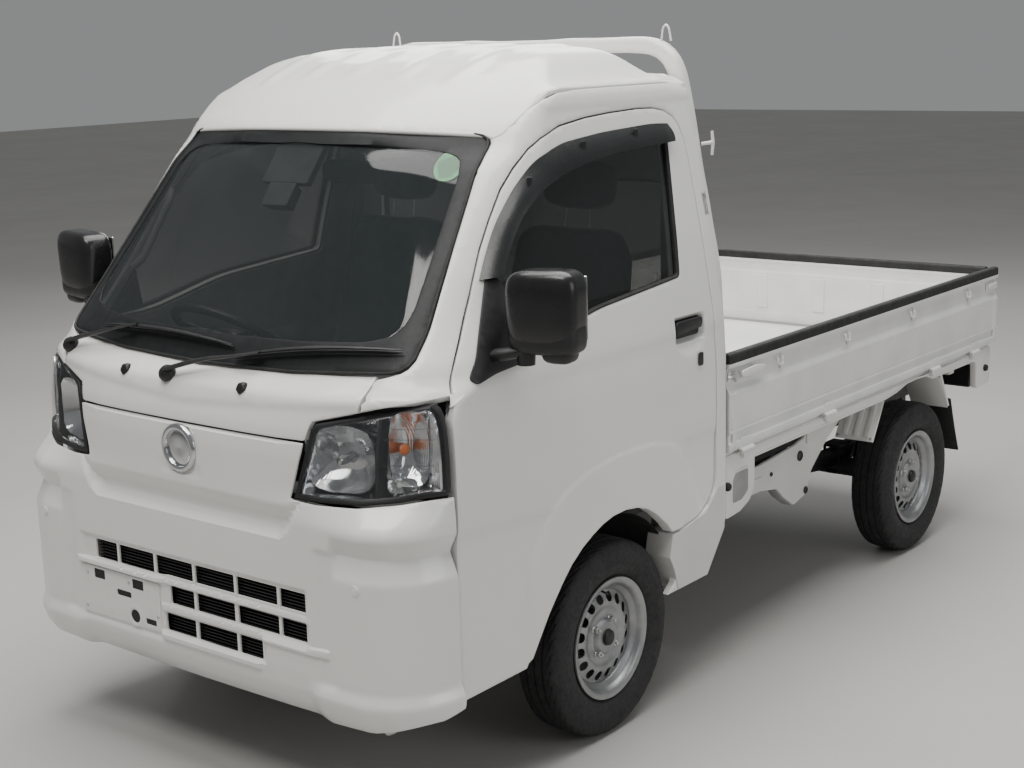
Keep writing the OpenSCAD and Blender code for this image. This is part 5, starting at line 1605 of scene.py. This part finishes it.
def build_lamps():
    inner_x = lambda z: 384 + (z - 808) * 0.27
    loop = np.vstack([
        fx([(x, np.interp(x, [384, 450, 560, 650, 710], [809, 806, 810, 820, 829])) for x in span(386, 705, 13)]),
        fy([(-1516, 829), (-1508, 838)]),
        fy([(-1506, z) for z in span(850, 1030, 14)]),
        fy([(-1509, 1036)]),
        fx([(x, HL_TOP(x) - 3) for x in span(698, 440, 13)]),
        fx([(inner_x(z) + 2, z) for z in span(968, 822, 13)]),
    ])
    loop = ccw(loop)
    off = lambda d: (lambda P: (lambda SN: SN[0] - SN[1] * d)(frame_of(front_base, P, 3.0)))
    ring_in = inset(loop, 11)
    rim = patch(off(1.0), [loop, ring_in], [0], [0], thick=6, roll=2.0)
    lens = patch(off(2.0), [inset(loop, 8)], cuts([250, 18, 900]), cuts([800, 18, 1060]), thick=4, roll=1.0)
    # bowl behind the lens
    cen = loop.mean(0)

    def bowl(P):
        S, N = frame_of(front_base, P, 3.0)
        d = np.minimum(seg_dist(P, ring_in) * 2.2, 52) + 10
        V = S - N * d[:, None] + np.stack([np.zeros(len(P)), d * 0.25, np.zeros(len(P))], 1)
        out = sstep(V[:, 0], 590, 650)
        V[:, 1] = V[:, 1] * (1 - out) + np.minimum(V[:, 1], -1524) * out
        return V
    bw = patch(bowl, [inset(loop, 10)], cuts([250, 9, 900]), cuts([800, 9, 1060]), thick=3, roll=1.0)

    def dish(cx, cz, rx, rz, depth, y_off, power=2.0, flutes=0, mat="reflector", n=40, face=(0, -1, 0), tilt=0):
        """reflector bowl opening to the front"""
        g = Geo()
        p0, nn = on_nose(cx, cz, 0)
        rows = 14
        vs = []
        for i in range(rows + 1):
            u = i / rows
            for k in range(n):
                a = 2 * math.pi * k / n
                c, s = math.cos(a), math.sin(a)
                e = (abs(c) ** 3.4 + abs(s) ** 3.4) ** (-1 / 3.4)
                x = rx * u * c * e
                z = rz * u * s * e
                y = depth * (1 - u ** power)
                if flutes:
                    y += 1.6 * math.sin(x * flutes) * u
                vs.append((x, y, z))
        V = rot(np.array(vs), "Z", tilt) + np.array([cx, p0[1] + y_off, cz])
        fs = []
        for i in range(1, rows):
            for k in range(n):
                l = (k + 1) % n
                fs.append((i * n + k, i * n + l, (i + 1) * n + l, (i + 1) * n + k))
        fs.append(tuple(reversed([n + k for k in range(n)])))
        W = V + rot(np.array([[0, 2.5, 0]]), "Z", tilt)
        m = len(V)
        back = [tuple(i + m for i in reversed(q)) for q in fs]
        side = [(rows * n + k, rows * n + (k + 1) % n, m + rows * n + (k + 1) % n, m + rows * n + k) for k in range(n)]
        g.add(np.vstack([V, W]), fs + back + side, mat)
        return g
    refl = Geo()
    a = dish(492, 904, 92, 80, 66, 24, 2.0, 0.5, tilt=14)
    refl.add(a.v, a.f)
    b = dish(652, 936, 46, 88, 46, 22, 2.2, 0.9, tilt=40)
    refl.add(b.v, b.f)
    c2 = dish(640, 852, 34, 18, 20, 20, 2.0, 0, tilt=38)
    refl.add(c2.v, c2.f)
    bulbs = Geo()
    p, nrm = on_nose(494, 902, -52)
    v, f = lathe([(-14, 0.01), (-13, 8), (-4, 12), (8, 12), (22, 10), (30, 14), (34, 14), (34, 0.01)], 24, "Y", (p[0], p[1] - 6, p[2]))
    bulbs.add(v, fix(v, f), "chrome")
    p, nrm = on_nose(646, 936, -40)
    v, f = lathe([(-20, 0.01), (-17, 8), (-8, 12.5), (4, 13), (12, 9), (22, 9), (22, 0.01)], 24, "Y", p)
    bulbs.add(rot(v, "Z", 35, p), fix(v, f), "orange")
    p, nrm = on_nose(640, 852, -26)
    v, f = lathe([(-8, 0.01), (-6, 6), (2, 8), (10, 6), (16, 6), (16, 0.01)], 20, "Y", p)
    bulbs.add(rot(v, "Z", 35, p), fix(v, f), "clear")
    # divider and ledges
    div = Geo()
    pts_t = [on_nose(594, z, -8)[0] for z in span(826, 1006, 20)]
    pts_b = [q + np.array([-4, 34, 0]) for q in pts_t]
    V = np.vstack([[q + np.array([-3, 0, 0]) for q in pts_t], [q + np.array([4, 2, 0]) for q in pts_t], [q + np.array([4, 2, 0]) for q in pts_b], [q + np.array([-3, 0, 0]) for q in pts_b]])
    n = len(pts_t)
    F = []
    for k in range(4):
        l = (k + 1) % 4
        for i in range(n - 1):
            F.append((k * n + i, k * n + i + 1, l * n + i + 1, l * n + i))
    F += [(0, n, 2 * n, 3 * n), tuple(reversed((n - 1, 2 * n - 1, 3 * n - 1, 4 * n - 1)))]
    div.add(V, fix(V, F))
    for z in (880, 900, 960, 985):
        q = [on_nose(x, z, -12)[0] for x in span(606, 712, 16)]
        div.add(*tube(q, 2.2, 6), "lens")
    for g, nm, mat, rep in ((rim, "headlight_rim", "black", ["headlights"]), (lens, "headlight_lens", "lens", []), (bw, "headlight_bowl", "reflector", []), (refl, "headlight_reflectors", "reflector", []),
                            (bulbs, "headlight_bulbs", "orange", []), (div, "headlight_divider", "black", [])):
        w = Geo()
        w.add(g.v, g.f)
        w.m = list(g.m)
        w.with_mirror()
        emit(nm, w, "truck", mat, rep, sharp=40)


def build_front_details():
    # plain round badge
    g = Geo()
    P, N = on_nose(0, 877, 0, bumper_disp)
    y = P[1]
    v, f = lathe([(2, 44), (-6, 45), (-10, 48), (-11, 54), (-8, 60), (-2, 62), (3, 61.5), (3, 44)], 72, "Y", (0, y, 877), True)
    g.add(v, fix(v, f))
    v, f = lathe([(3, 0.01), (-2, 0.01), (-3.5, 20), (-3, 38), (-1, 46), (3, 46)], 72, "Y", (0, y, 877))
    g.add(v, fix(v, f))
    emit("round_badge", g, "truck", "chrome", sharp=50)
    # parking sensors and tow hook
    s = Geo()
    for sx in (1, -1):
        P, N = on_nose(580, 620, 0, bumper_disp)
        v, f = lathe([(2, 0.01), (2, 13), (-1, 13), (-2.4, 11.5), (-1.2, 9.5), (-2.6, 8), (-3, 0.01)], 32, "Y", (0, 0, 0))
        v = rot(v, "Z", math.degrees(math.atan2(N[0], -N[1]))) + P
        if sx < 0:
            v = v * [-1, 1, 1]
        s.add(v, fix(v, f))
    emit("parking_sensors", s, "truck", "white", sharp=35)
    t = Geo()
    t.add(*tube(arc_path([(560, -1540, 262), (560, -1565, 246), (572, -1592, 236), (592, -1592, 244), (600, -1570, 256), (600, -1540, 268)], 14, 5), 6.5, 12))
    t.add(*block(540, 620, -1545, -1530, 255, 330, 3))
    emit("tow_hook", t, "truck", "steel")
    # plate carrier: two slotted ribs; the black blocks set in the holes are painted shade in them
    c = Geo()
    base = rounded([(-442, 364), (-120, 366), (-116, 500), (-440, 500)], 8, 4)
    slots = [rect(-384, -340, 468, 494, 2), rect(-226, -182, 468, 494, 2), rect(-292, -234, 438, 454, 4), rect(-180, -138, 380, 396, 4),
             np.array([(-222 + 18 * math.cos(a), 392 + 18 * math.sin(a)) for a in np.linspace(0, 2 * math.pi, 24, endpoint=False)])]

    def carrier_disp(S):
        x, z = S[:, 0], S[:, 2]
        e = bumper_disp(S) + 3.2
        e += 3.5 * np.exp(-((x + 320) / 7) ** 4) * window(z, 385, 490, 12) + 3.5 * np.exp(-((x + 150) / 6) ** 4) * window(z, 405, 490, 12)
        r = np.hypot(x + 222, z - 392)
        return e + 2.5 * np.exp(-((r - 26) / 5) ** 2)
    p = patch(displaced(front_base, carrier_disp), [ccw(fx(dense(base, 18)))] + [fx(dense(q, 12)) for q in slots], cuts([-460, 6, -100]), cuts([362, 7, 505]), thick=5, roll=1.2)
    c.add(p.v, p.f)
    # black blocks just behind the slots: painted shade in the holes
    for x, z, a, b in ((-362, 481, 24, 15), (-204, 481, 24, 15), (-263, 446, 31, 10), (-159, 388, 23, 10), (-222, 392, 20, 20)):
        P, N = on_nose(x, z, 0.4, bumper_disp)
        v, f = block(-a, a, -0.6, 3, -b, b, 0.4)
        c.add(rot(v, "Z", math.degrees(math.atan2(N[0], -N[1]))) + P, f, "rubber")
    for x, z in ((-412, 478), (-424, 384), (-128, 410), (-240, 480)):
        P, N = on_nose(x, z, 3.4, bumper_disp)
        v, f = lathe([(1, 0.01), (1, 5), (-2, 4), (-2.5, 0.01)], 14, "Y", P)
        c.add(v, fix(v, f), "steel")
    emit("plate_carrier", c, "truck", "white", ["front_plate_bracket"], sharp=35)
    # washer nozzles
    w = Geo()
    for x in (-237, 199):
        P, N = on_nose(x, 1041, 0)
        q = rounded([(x - 15, 1040), (x, 1028), (x + 16, 1042), (x + 8, 1056), (x - 9, 1056)], 5)
        V, F = prism(q, "Y", P[1] - 9, P[1] + 8, 3)
        V[:, 1] += (V[:, 2] - 1041) * 0.30
        w.add(V, F)
    emit("washer_nozzles", w, "truck", "black", sharp=45)
    # wipers: pivot, arm, blade
    g = Geo()
    for piv, mid, b0, b1 in (((-541, 1062), (-262, 1131), (-420, 1120), (100, 1119)), ((-70, 1046), (212, 1107), (120, 1096), (589, 1141))):
        p0, n0 = on_nose(*piv, 6)
        v, f = lathe([(0, 0.01), (0, 22), (12, 22), (20, 17), (26, 8), (27, 0.01)], 28, "Z")
        up = n0
        q = Vector((0, 0, 1)).rotation_difference(Vector(up))
        R = np.array(q.to_matrix())
        g.add(v @ R.T + p0 - up * 6, fix(v, f))
        pts = []
        for t in np.linspace(0, 1, 14):
            x = piv[0] + (mid[0] - piv[0]) * t
            z = piv[1] + (mid[1] - piv[1]) * t
            pts.append(on_nose(x, z, 20 + 8 * math.sin(t * math.pi) + 6 * t)[0])
        g.add(*tube(pts, np.linspace(13, 6, 14), 10, True, 0.55))
        blade, spine = [], []
        for t in np.linspace(0, 1, 30):
            x = b0[0] + (b1[0] - b0[0]) * t
            z = b0[1] + (b1[1] - b0[1]) * t + 10 * math.sin(t * math.pi)
            blade.append(on_nose(x, z, 5)[0])
            spine.append(on_nose(x, z + 2, 14 + 6 * math.sin(t * math.pi))[0])
        g.add(*tube(blade, np.interp(np.linspace(0, 1, 30), [0, 0.05, 0.95, 1], [2.5, 5, 5, 2.5]), 8, True, 0.8))
        g.add(*tube(spine, np.interp(np.linspace(0, 1, 30), [0, 0.1, 0.5, 0.9, 1], [2, 5, 8.5, 5, 2]), 8, True, 0.6))
    emit("wiper_set", g, "truck", "black", ["wipers"], sharp=45)


# ---------------------------------------------------------------- cabin
def build_cabin():
    g = Geo()
    # dashboard: shaped section swept across, with a meter hood and vents
    sec = [(-1565, 800), (-1560, 1020), (-1520, 1044), (-1430, 1050), (-1340, 1046), (-1290, 1032), (-1262, 1008), (-1256, 985), (-1268, 960), (-1286, 930), (-1290, 880), (-1296, 850), (-1320, 806), (-1360, 786), (-1500, 784)]
    sec = rounded(sec, 14, 4)
    xs = span(-612, 612, 24)
    vs, fs = [], []
    n = len(sec)
    for x in xs:
        w = 1 - 0.10 * (abs(x) / 612) ** 6
        for y, z in sec:
            yy = y
            lim = -1538 + 165 * (max(abs(x) - 250, 0) / 362) ** 1.8
            yy = max(yy, lim)
            zz = z
            if z > 1000:
                zz += 20 * window(np.array([x]), -470, -200, 90)[0] * (1 if y > -1480 else 0.4)
            if y > -1300 and z > 940:
                yy -= 14 * window(np.array([x]), -120, 560, 60)[0]
            vs.append((x, yy, zz))
    for i in range(len(xs) - 1):
        for k in range(n):
            l = (k + 1) % n
            fs.append((i * n + k, i * n + l, (i + 1) * n + l, (i + 1) * n + k))
    fs.append(tuple(range(n)))
    fs.append(tuple((len(xs) - 1) * n + k for k in reversed(range(n))))
    g.add(vs, fix(vs, fs))
    for x in (-560, -150, 150, 560):
        for k in range(5):
            g.add(*block(x - 42, x + 42, -1262, -1246, 968 + k * 9, 972 + k * 9, 1.5), "black")
    # centre stack with a plain display, knobs, glovebox and shelf
    g.add(*block(-110, 110, -1275, -1238, 850, 962, 10), "black")
    g.add(*block(-92, 92, -1240, -1234, 888, 952, 5), "frit")
    for x in (-60, 0, 60):
        v, f = lathe([(0, 0.01), (0, 16), (14, 15), (18, 12), (18, 0.01)], 24, "Y", (x, -1242, 868))
        g.add(v, fix(v, f), "cabin_light")
    g.add(*block(180, 540, -1285, -1262, 830, 930, 12), "cabin_light")
    # instrument pod
    g.add(*superbox((-335, -1330, 1050), (120, 62, 36), 0, 3.0, 18), "black")
    emit("dash_panel", g, "truck", "cabin", ["dashboard"], sharp=40)

    # steering wheel on its tilted axis
    a = math.radians(-37)
    R = np.array(Matrix.Rotation(a, 3, "X"))
    at = np.array([-335, -1180, 1035.0])
    s = Geo()
    ring = []
    n, m = 72, 16
    vs, fs = [], []
    for i in range(n):
        t = 2 * math.pi * i / n
        grip = 14 + 0.9 * math.cos(t * 8) * 0.4
        for k in range(m):
            b = 2 * math.pi * k / m
            r = 182 + grip * math.cos(b)
            vs.append((r * math.cos(t), r * math.sin(t), 0.86 * grip * math.sin(b)))
    for i in range(n):
        for k in range(m):
            fs.append((i * m + k, ((i + 1) % n) * m + k, ((i + 1) % n) * m + (k + 1) % m, i * m + (k + 1) % m))
    s.add(np.array(vs) @ R.T + at, fix(vs, fs))
    for ang in (90, 210, 330):
        c, d = math.cos(math.radians(ang)), math.sin(math.radians(ang))
        pts = [np.array([c * q, d * q, -10 + 6 * (q / 170)]) for q in (30, 70, 120, 174)]
        v, f = tube(pts, [22, 18, 13, 11], 14, True, 0.5)
        s.add(np.array(v) @ R.T + at, f)
    v, f = superbox((0, 0, -10), (66, 58, 22), 0, 3.2, 18)
    s.add(np.array(v) @ R.T + at, f)
    v, f = superbox((0, 0, 10), (44, 38, 8), 0, 3.0, 14)
    s.add(np.array(v) @ R.T + at, f, "cabin")
    emit("steering_wheel_rim", s, "steering_wheel", "black", ["steering_wheel"], sharp=50)
    c = Geo()
    v, f = superbox((0, 0, -102), (48, 44, 56), 0, 4.0, 16)
    c.add(np.array(v) @ R.T + at, f)
    v, f = tube([(0, 0, -80), (0, 0, -400), (0, 0, -598)], [30, 26, 22], 20)
    c.add(np.array(v) @ R.T + at, f)
    for q in (-1, 1):
        v, f = tube([(q * 40, 10, -72), (q * 110, 30, -66), (q * 150, 36, -60)], [7, 6, 8], 10)
        c.add(np.array(v) @ R.T + at, f, "black")
    emit("column_shroud", c, "truck", "cabin", ["steering_column"], sharp=50)

    # floor mat, engine cover under the seats, pedals, levers, grab handles
    k = Geo()
    k.add(*block(-600, 600, -1560, -1235, 436, 442, 2), "mat")
    k.add(*prism(rounded([(-1232, 442), (-1226, 442), (-1152, 606), (-1158, 606)], 2), "X", -605, 605, 1), "mat")
    for x, w in ((-440, 30), (-340, 34), (-255, 24)):
        k.add(*prism(rounded([(-1440, 540), (-1430, 536), (-1400, 600), (-1410, 604)], 3), "X", x - w, x + w, 2), "rubber")
        k.add(*tube([(x, -1420, 572), (x, -1480, 660), (x, -1520, 760)], 7, 10), "black")
    k.add(*tube(arc_path([(-20, -1150, 612), (-20, -1170, 700), (-30, -1210, 800)], 30), 8, 12), "black")
    v, f = superbox((-30, -1212, 812), (24, 24, 28), 0, 2.6, 14)
    k.add(v, f, "black")
    k.add(*tube(arc_path([(40, -700, 640), (40, -820, 680), (40, -930, 720)], 30), 13, 12), "black")
    k.add(*block(-60, 60, -1060, -620, 611, 650, 14), "cabin")
    emit("cabin_fittings", k, "truck", "cabin", sharp=45)
    h = Geo()
    h.add(*tube(arc_path([(-548, -1350, 1248), (-528, -1330, 1270), (-508, -1240, 1420), (-520, -1216, 1450)], 26), 11, 12))
    emit("grab_handle", h, "truck", "cabin", sharp=50)
    vz = Geo()
    for x in (-290, 290):
        vz.add(*superbox((x, -1015, 1608), (190, 62, 9), 0, 4.0, 16))
    vz.add(*superbox((60, -1085, 1508), (110, 12, 32), 0, 4.0, 16), "black")
    v, f = block(-42, 162, -1073, -1070, 1482, 1534, 2)
    vz.add(v, f, "mirror_glass")
    v = np.array(vz.v)
    vz.v = [tuple(p) for p in v]
    emit("sun_visors", vz, "truck", "cabin_light", sharp=50)


def soft_pad(name, geo, mat, body, fill, nodes=(), cap=0.024, sim=True):
    """padded piece: remesh, swell with cloth pressure, cap the swelling, smooth"""
    o = emit(name, geo, body, mat, nodes, smooth=True, sharp=180)
    o.parent = None
    def bake(ob):
        dg = bpy.context.evaluated_depsgraph_get()
        me = bpy.data.meshes.new_from_object(ob.evaluated_get(dg))
        ob.modifiers.clear()
        old = ob.data
        ob.data = me
        return old
    r = o.modifiers.new("remesh", "REMESH")
    r.mode = "VOXEL"
    r.voxel_size = 0.0075
    bake(o)
    rest = np.zeros(len(o.data.vertices) * 3)
    o.data.vertices.foreach_get("co", rest)
    rest = rest.reshape(-1, 3)
    if sim:
        c = o.modifiers.new("cloth", "CLOTH")
        c.settings.use_pressure = True
        c.settings.uniform_pressure_force = 4.0
        c.settings.effector_weights.gravity = 0.0
        c.settings.quality = 5
        c.settings.tension_stiffness = 15
        c.settings.compression_stiffness = 15
        c.settings.mass = 0.3
        c.point_cache.frame_start = 1
        c.point_cache.frame_end = 20
        for fnum in range(1, 19):
            bpy.context.scene.frame_set(fnum)
        dg = bpy.context.evaluated_depsgraph_get()
        ev = o.evaluated_get(dg)
        co = np.zeros(len(ev.data.vertices) * 3)
        ev.data.vertices.foreach_get("co", co)
        co = co.reshape(-1, 3)
        o.modifiers.clear()
        bpy.context.scene.frame_set(1)
        d = co - rest
        l = np.linalg.norm(d, axis=1)
        k = np.where(l > cap, cap / np.maximum(l, 1e-9), 1.0)
        rest = rest + d * k[:, None]
    return o, rest


def finish_pad(o, co, body, shape):
    """sewn channels are pressed in after the swelling"""
    co = shape(co)
    o.data.vertices.foreach_set("co", co.ravel())
    o.data.update()
    s = o.modifiers.new("sub", "SMOOTH")
    s.factor = 0.5
    s.iterations = 3
    dg = bpy.context.evaluated_depsgraph_get()
    me = bpy.data.meshes.new_from_object(o.evaluated_get(dg))
    o.modifiers.clear()
    o.data = me
    me.polygons.foreach_set("use_smooth", [True] * len(me.polygons))
    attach(o, body)


def build_seats():
    def cushion(cx):
        g = Geo()
        xs = [-218, -205, 205, 218]
        g.add(*superbox((cx, -838, 684), (222, 222, 58), 0, 7.0, 22, lambda q: (q[0] * (1 - 0.03 * abs(q[1]) / 222), q[1], q[2] + 16 * (abs(q[0]) / 222) ** 4 * (q[2] > 0) + 8 * (q[1] < -120) * (q[2] > 0))))
        return g

    def back(cx):
        g = Geo()
        t = math.radians(-12)
        v, f = superbox((0, 0, 0), (216, 50, 278), 0, 6.0, 24, lambda q: (q[0] * (1 - 0.10 * max(q[2], 0) / 278), q[1] - 14 * (abs(q[0]) / 216) ** 4 * (q[1] < 0), q[2]))
        v = rot(v, "X", 12 * -1) + np.array([cx, -521, 1052])
        g.add(v, f)
        return g

    def head(cx):
        g = Geo()
        v, f = superbox((0, 0, 0), (118, 40, 66), 0, 4.0, 20)
        v = rot(v, "X", -12) + np.array([cx, -442, 1428])
        g.add(v, f)
        return g
    first = True
    for s, nm in ((1, "left"), (-1, "right")):
        cx = s * 335
        o, co = soft_pad("seat_cushion_" + nm, cushion(cx), "cloth", "truck", 0.8, ["seat_cushions"] if s > 0 else [], 0.022)

        def shape_c(c, cx=cx):
            x, y, z = c[:, 0] / MM - cx, c[:, 1] / MM, c[:, 2] / MM
            top = z > 690
            u = np.abs(x)
            dip = 7 * np.exp(-((u - 142) / 7.0) ** 2) * (y > -1060) + 5 * np.exp(-((y + 985) / 7.0) ** 2) * (u < 142)
            dip += 3 * (np.exp(-((y + 760) / 7.0) ** 2) + np.exp(-((y + 870) / 7.0) ** 2)) * (u < 138)
            z = np.where(top, z - dip, z)
            z = np.clip(z, 612, 768)
            y = np.clip(y, -1074, -612)
            x = np.clip(x, -238, 238)
            return np.stack([(x + cx) * MM, y * MM, z * MM], 1)
        finish_pad(o, co, "truck", shape_c)
        o, co = soft_pad("seat_back_" + nm, back(cx), "cloth", "truck", 0.8, ["seat_backs"] if s > 0 else [], 0.020)

        def shape_b(c, cx=cx):
            x, y, z = c[:, 0] / MM - cx, c[:, 1] / MM, c[:, 2] / MM
            mid = -521 + (z - 1052) * math.tan(math.radians(12))
            front = y < mid - 10
            u = np.abs(x)
            dip = 7 * np.exp(-((u - 135) / 7.0) ** 2) * (z < 1290) + 4 * (np.exp(-((z - 940) / 7.0) ** 2) + np.exp(-((z - 1060) / 7.0) ** 2) + np.exp(-((z - 1180) / 7.0) ** 2)) * (u < 132)
            y = np.where(front, y + dip, y)
            y = np.clip(y, -1000, -345)
            return np.stack([(x + cx) * MM, y * MM, z * MM], 1)
        finish_pad(o, co, "truck", shape_b)
        o, co = soft_pad("headrest_" + nm, head(cx), "cloth", "truck", 0.85, [], 0.012)
        finish_pad(o, co, "truck", lambda c: c)
    p = Geo()
    for s in (1, -1):
        for d in (-42, 42):
            p.add(*tube([(s * 335 + d, -462, 1310), (s * 335 + d, -452, 1372)], 6, 12))
        # recliner covers and belt buckles
        p.add(*superbox((s * 335 + 236, -630, 700), (12, 70, 60), 0, 3.5, 12), "black")
        p.add(*superbox((s * 335 - 236, -630, 700), (12, 70, 60), 0, 3.5, 12), "black")
        p.add(*superbox((s * 78, -640, 770), (12, 16, 44), 0, 3.5, 12), "black")
    emit("seat_fittings", p, "truck", "chrome", sharp=45)
    b = Geo()
    for s in (1, -1):
        pts = [(s * 590, -380, 1510), (s * 592, -395, 1300), (s * 596, -400, 1000), (s * 600, -420, 700)]
        V = []
        for x, y, z in pts:
            V += [(x, y - 23, z), (x, y + 23, z), (x - s * 2.2, y + 23, z), (x - s * 2.2, y - 23, z)]
        F = []
        for i in range(3):
            for k in range(4):
                F.append((i * 4 + k, i * 4 + (k + 1) % 4, (i + 1) * 4 + (k + 1) % 4, (i + 1) * 4 + k))
        F += [(0, 1, 2, 3), (15, 14, 13, 12)]
        b.add(V, fix(V, F))
        b.add(*superbox((s * 592, -378, 1520), (14, 28, 24), 0, 3.5, 12), "black")
    emit("seat_belts", b, "truck", "cabin", sharp=45)


# ---------------------------------------------------------------- CAD nodes that stay: materials
def paint(node, key):
    o = NODES[node]
    if len(o.data.materials) == 0:
        o.data.materials.append(M[key])
    for i in range(len(o.data.materials)):
        o.data.materials[i] = M[key]


STAY = {"chassis_frame": "chassis", "engine": "cast", "fuel_tank": "chassis", "rear_axle": "chassis", "leaf_springs": "chassis", "control_arms": "chassis",
        "knuckle_left": "cast", "knuckle_right": "cast", "front_left_wheel": "rim", "front_right_wheel": "rim", "rear_left_wheel": "rim", "rear_right_wheel": "rim",
        "front_left_tyre": "tyre", "front_right_tyre": "tyre", "rear_left_tyre": "tyre", "rear_right_tyre": "tyre", "cab_floor": "white_inner",
        "front_plate_bracket": "steel", "headlights": "reflector", "wipers": "black", "dashboard": "cabin", "steering_column": "cabin", "steering_wheel": "cabin",
        "seat_cushions": "cloth", "seat_backs": "cloth", "bed_floor": "bed", "guard_frame": "white", "side_gate_left": "bed", "side_gate_right": "bed", "tailgate": "bed",
        "rear_mudguards": "white", "mud_flaps": "rubber", "tail_lights": "red", "a_pillars": "white", "front_panel": "white", "roof": "white", "back_wall": "white",
        "windshield": "shield", "rear_window": "glass", "front_bumper": "white", "door_left": "white", "door_right": "white", "door_glass_left": "glass",
        "door_glass_right": "glass", "mirror_left": "mirror_black", "mirror_right": "mirror_black"}
for _n, _k in STAY.items():
    paint(_n, _k)

build_front()
build_lamps()
build_front_details()
build_doors()
build_cab()
build_wheels()
build_bed()
build_guard()
build_rear()
build_chassis()
build_cabin()
build_seats()


# ---------------------------------------------------------------- stage
def stage():
    me = bpy.data.meshes.new("studio_floor")
    s = 30.0
    n = 24
    vs = [((i / n - 0.5) * 2 * s, (k / n - 0.5) * 2 * s, 0.0) for k in range(n + 1) for i in range(n + 1)]
    fs = [(k * (n + 1) + i, k * (n + 1) + i + 1, (k + 1) * (n + 1) + i + 1, (k + 1) * (n + 1) + i) for k in range(n) for i in range(n)]
    me.from_pydata(vs, [], fs)
    o = bpy.data.objects.new("studio_floor", me)
    me.materials.append(material("studio_floor", (0.44, 0.43, 0.41), (0.41, 0.40, 0.385), rough=0.5, rough2=0.6, scale=0.6))
    COL.objects.link(o)
    w = bpy.data.worlds.new("studio")
    bpy.context.scene.world = w
    w.use_nodes = True
    w.node_tree.nodes["Background"].inputs["Color"].default_value = (0.86, 0.87, 0.88, 1)
    w.node_tree.nodes["Background"].inputs["Strength"].default_value = 0.30

    def area(name, loc, target, size, sy, power, color=(1, 1, 1)):
        l = bpy.data.lights.new(name, "AREA")
        l.shape = "RECTANGLE"
        l.size, l.size_y = size, sy
        l.energy = power
        l.color = color
        ob = bpy.data.objects.new(name, l)
        ob.location = loc
        ob.rotation_euler = (Vector(target) - Vector(loc)).to_track_quat("-Z", "Y").to_euler()
        COL.objects.link(ob)
    area("key", (0.4, -4.2, 5.6), (0, -0.8, 0.6), 3.4, 1.6, 170, (1, 0.985, 0.955))
    area("top", (0.0, 0.2, 5.4), (0, 0.2, 0.0), 4.6, 6.0, 500, (1, 0.99, 0.97))
    area("side", (6.0, -0.6, 2.6), (0, 0, 0.6), 3.5, 2.2, 60, (0.96, 0.98, 1))
    area("rim_rear", (-4.0, 5.0, 4.0), (0, 0, 0.8), 4, 2.5, 120, (1, 1, 1))


stage()


def camera():
    yaw, pitch, roll = (math.radians(a) for a in (38.56, 12.24, -1.57))
    cy, sy, cp, sp = math.cos(yaw), math.sin(yaw), math.cos(pitch), math.sin(pitch)
    d = np.array([-sy * cp, cy * cp, -sp])
    r = np.array([cy, sy, 0.0])
    u = np.cross(r, d)
    c, s = math.cos(roll), math.sin(roll)
    R, U = c * r + s * u, -s * r + c * u
    m = Matrix(((R[0], U[0], -d[0], 3.022), (R[1], U[1], -d[1], -4.151), (R[2], U[2], -d[2], 1.842), (0, 0, 0, 1)))
    cam = bpy.data.cameras.new("camera")
    cam.lens = 1595.0 / 1024.0 * 36.0
    cam.sensor_width = 36.0
    cam.sensor_fit = "HORIZONTAL"
    cam.clip_end = 200
    cam.dof.use_dof = False
    o = bpy.data.objects.new("camera", cam)
    COL.objects.link(o)
    o.matrix_world = m
    bpy.context.scene.camera = o


camera()
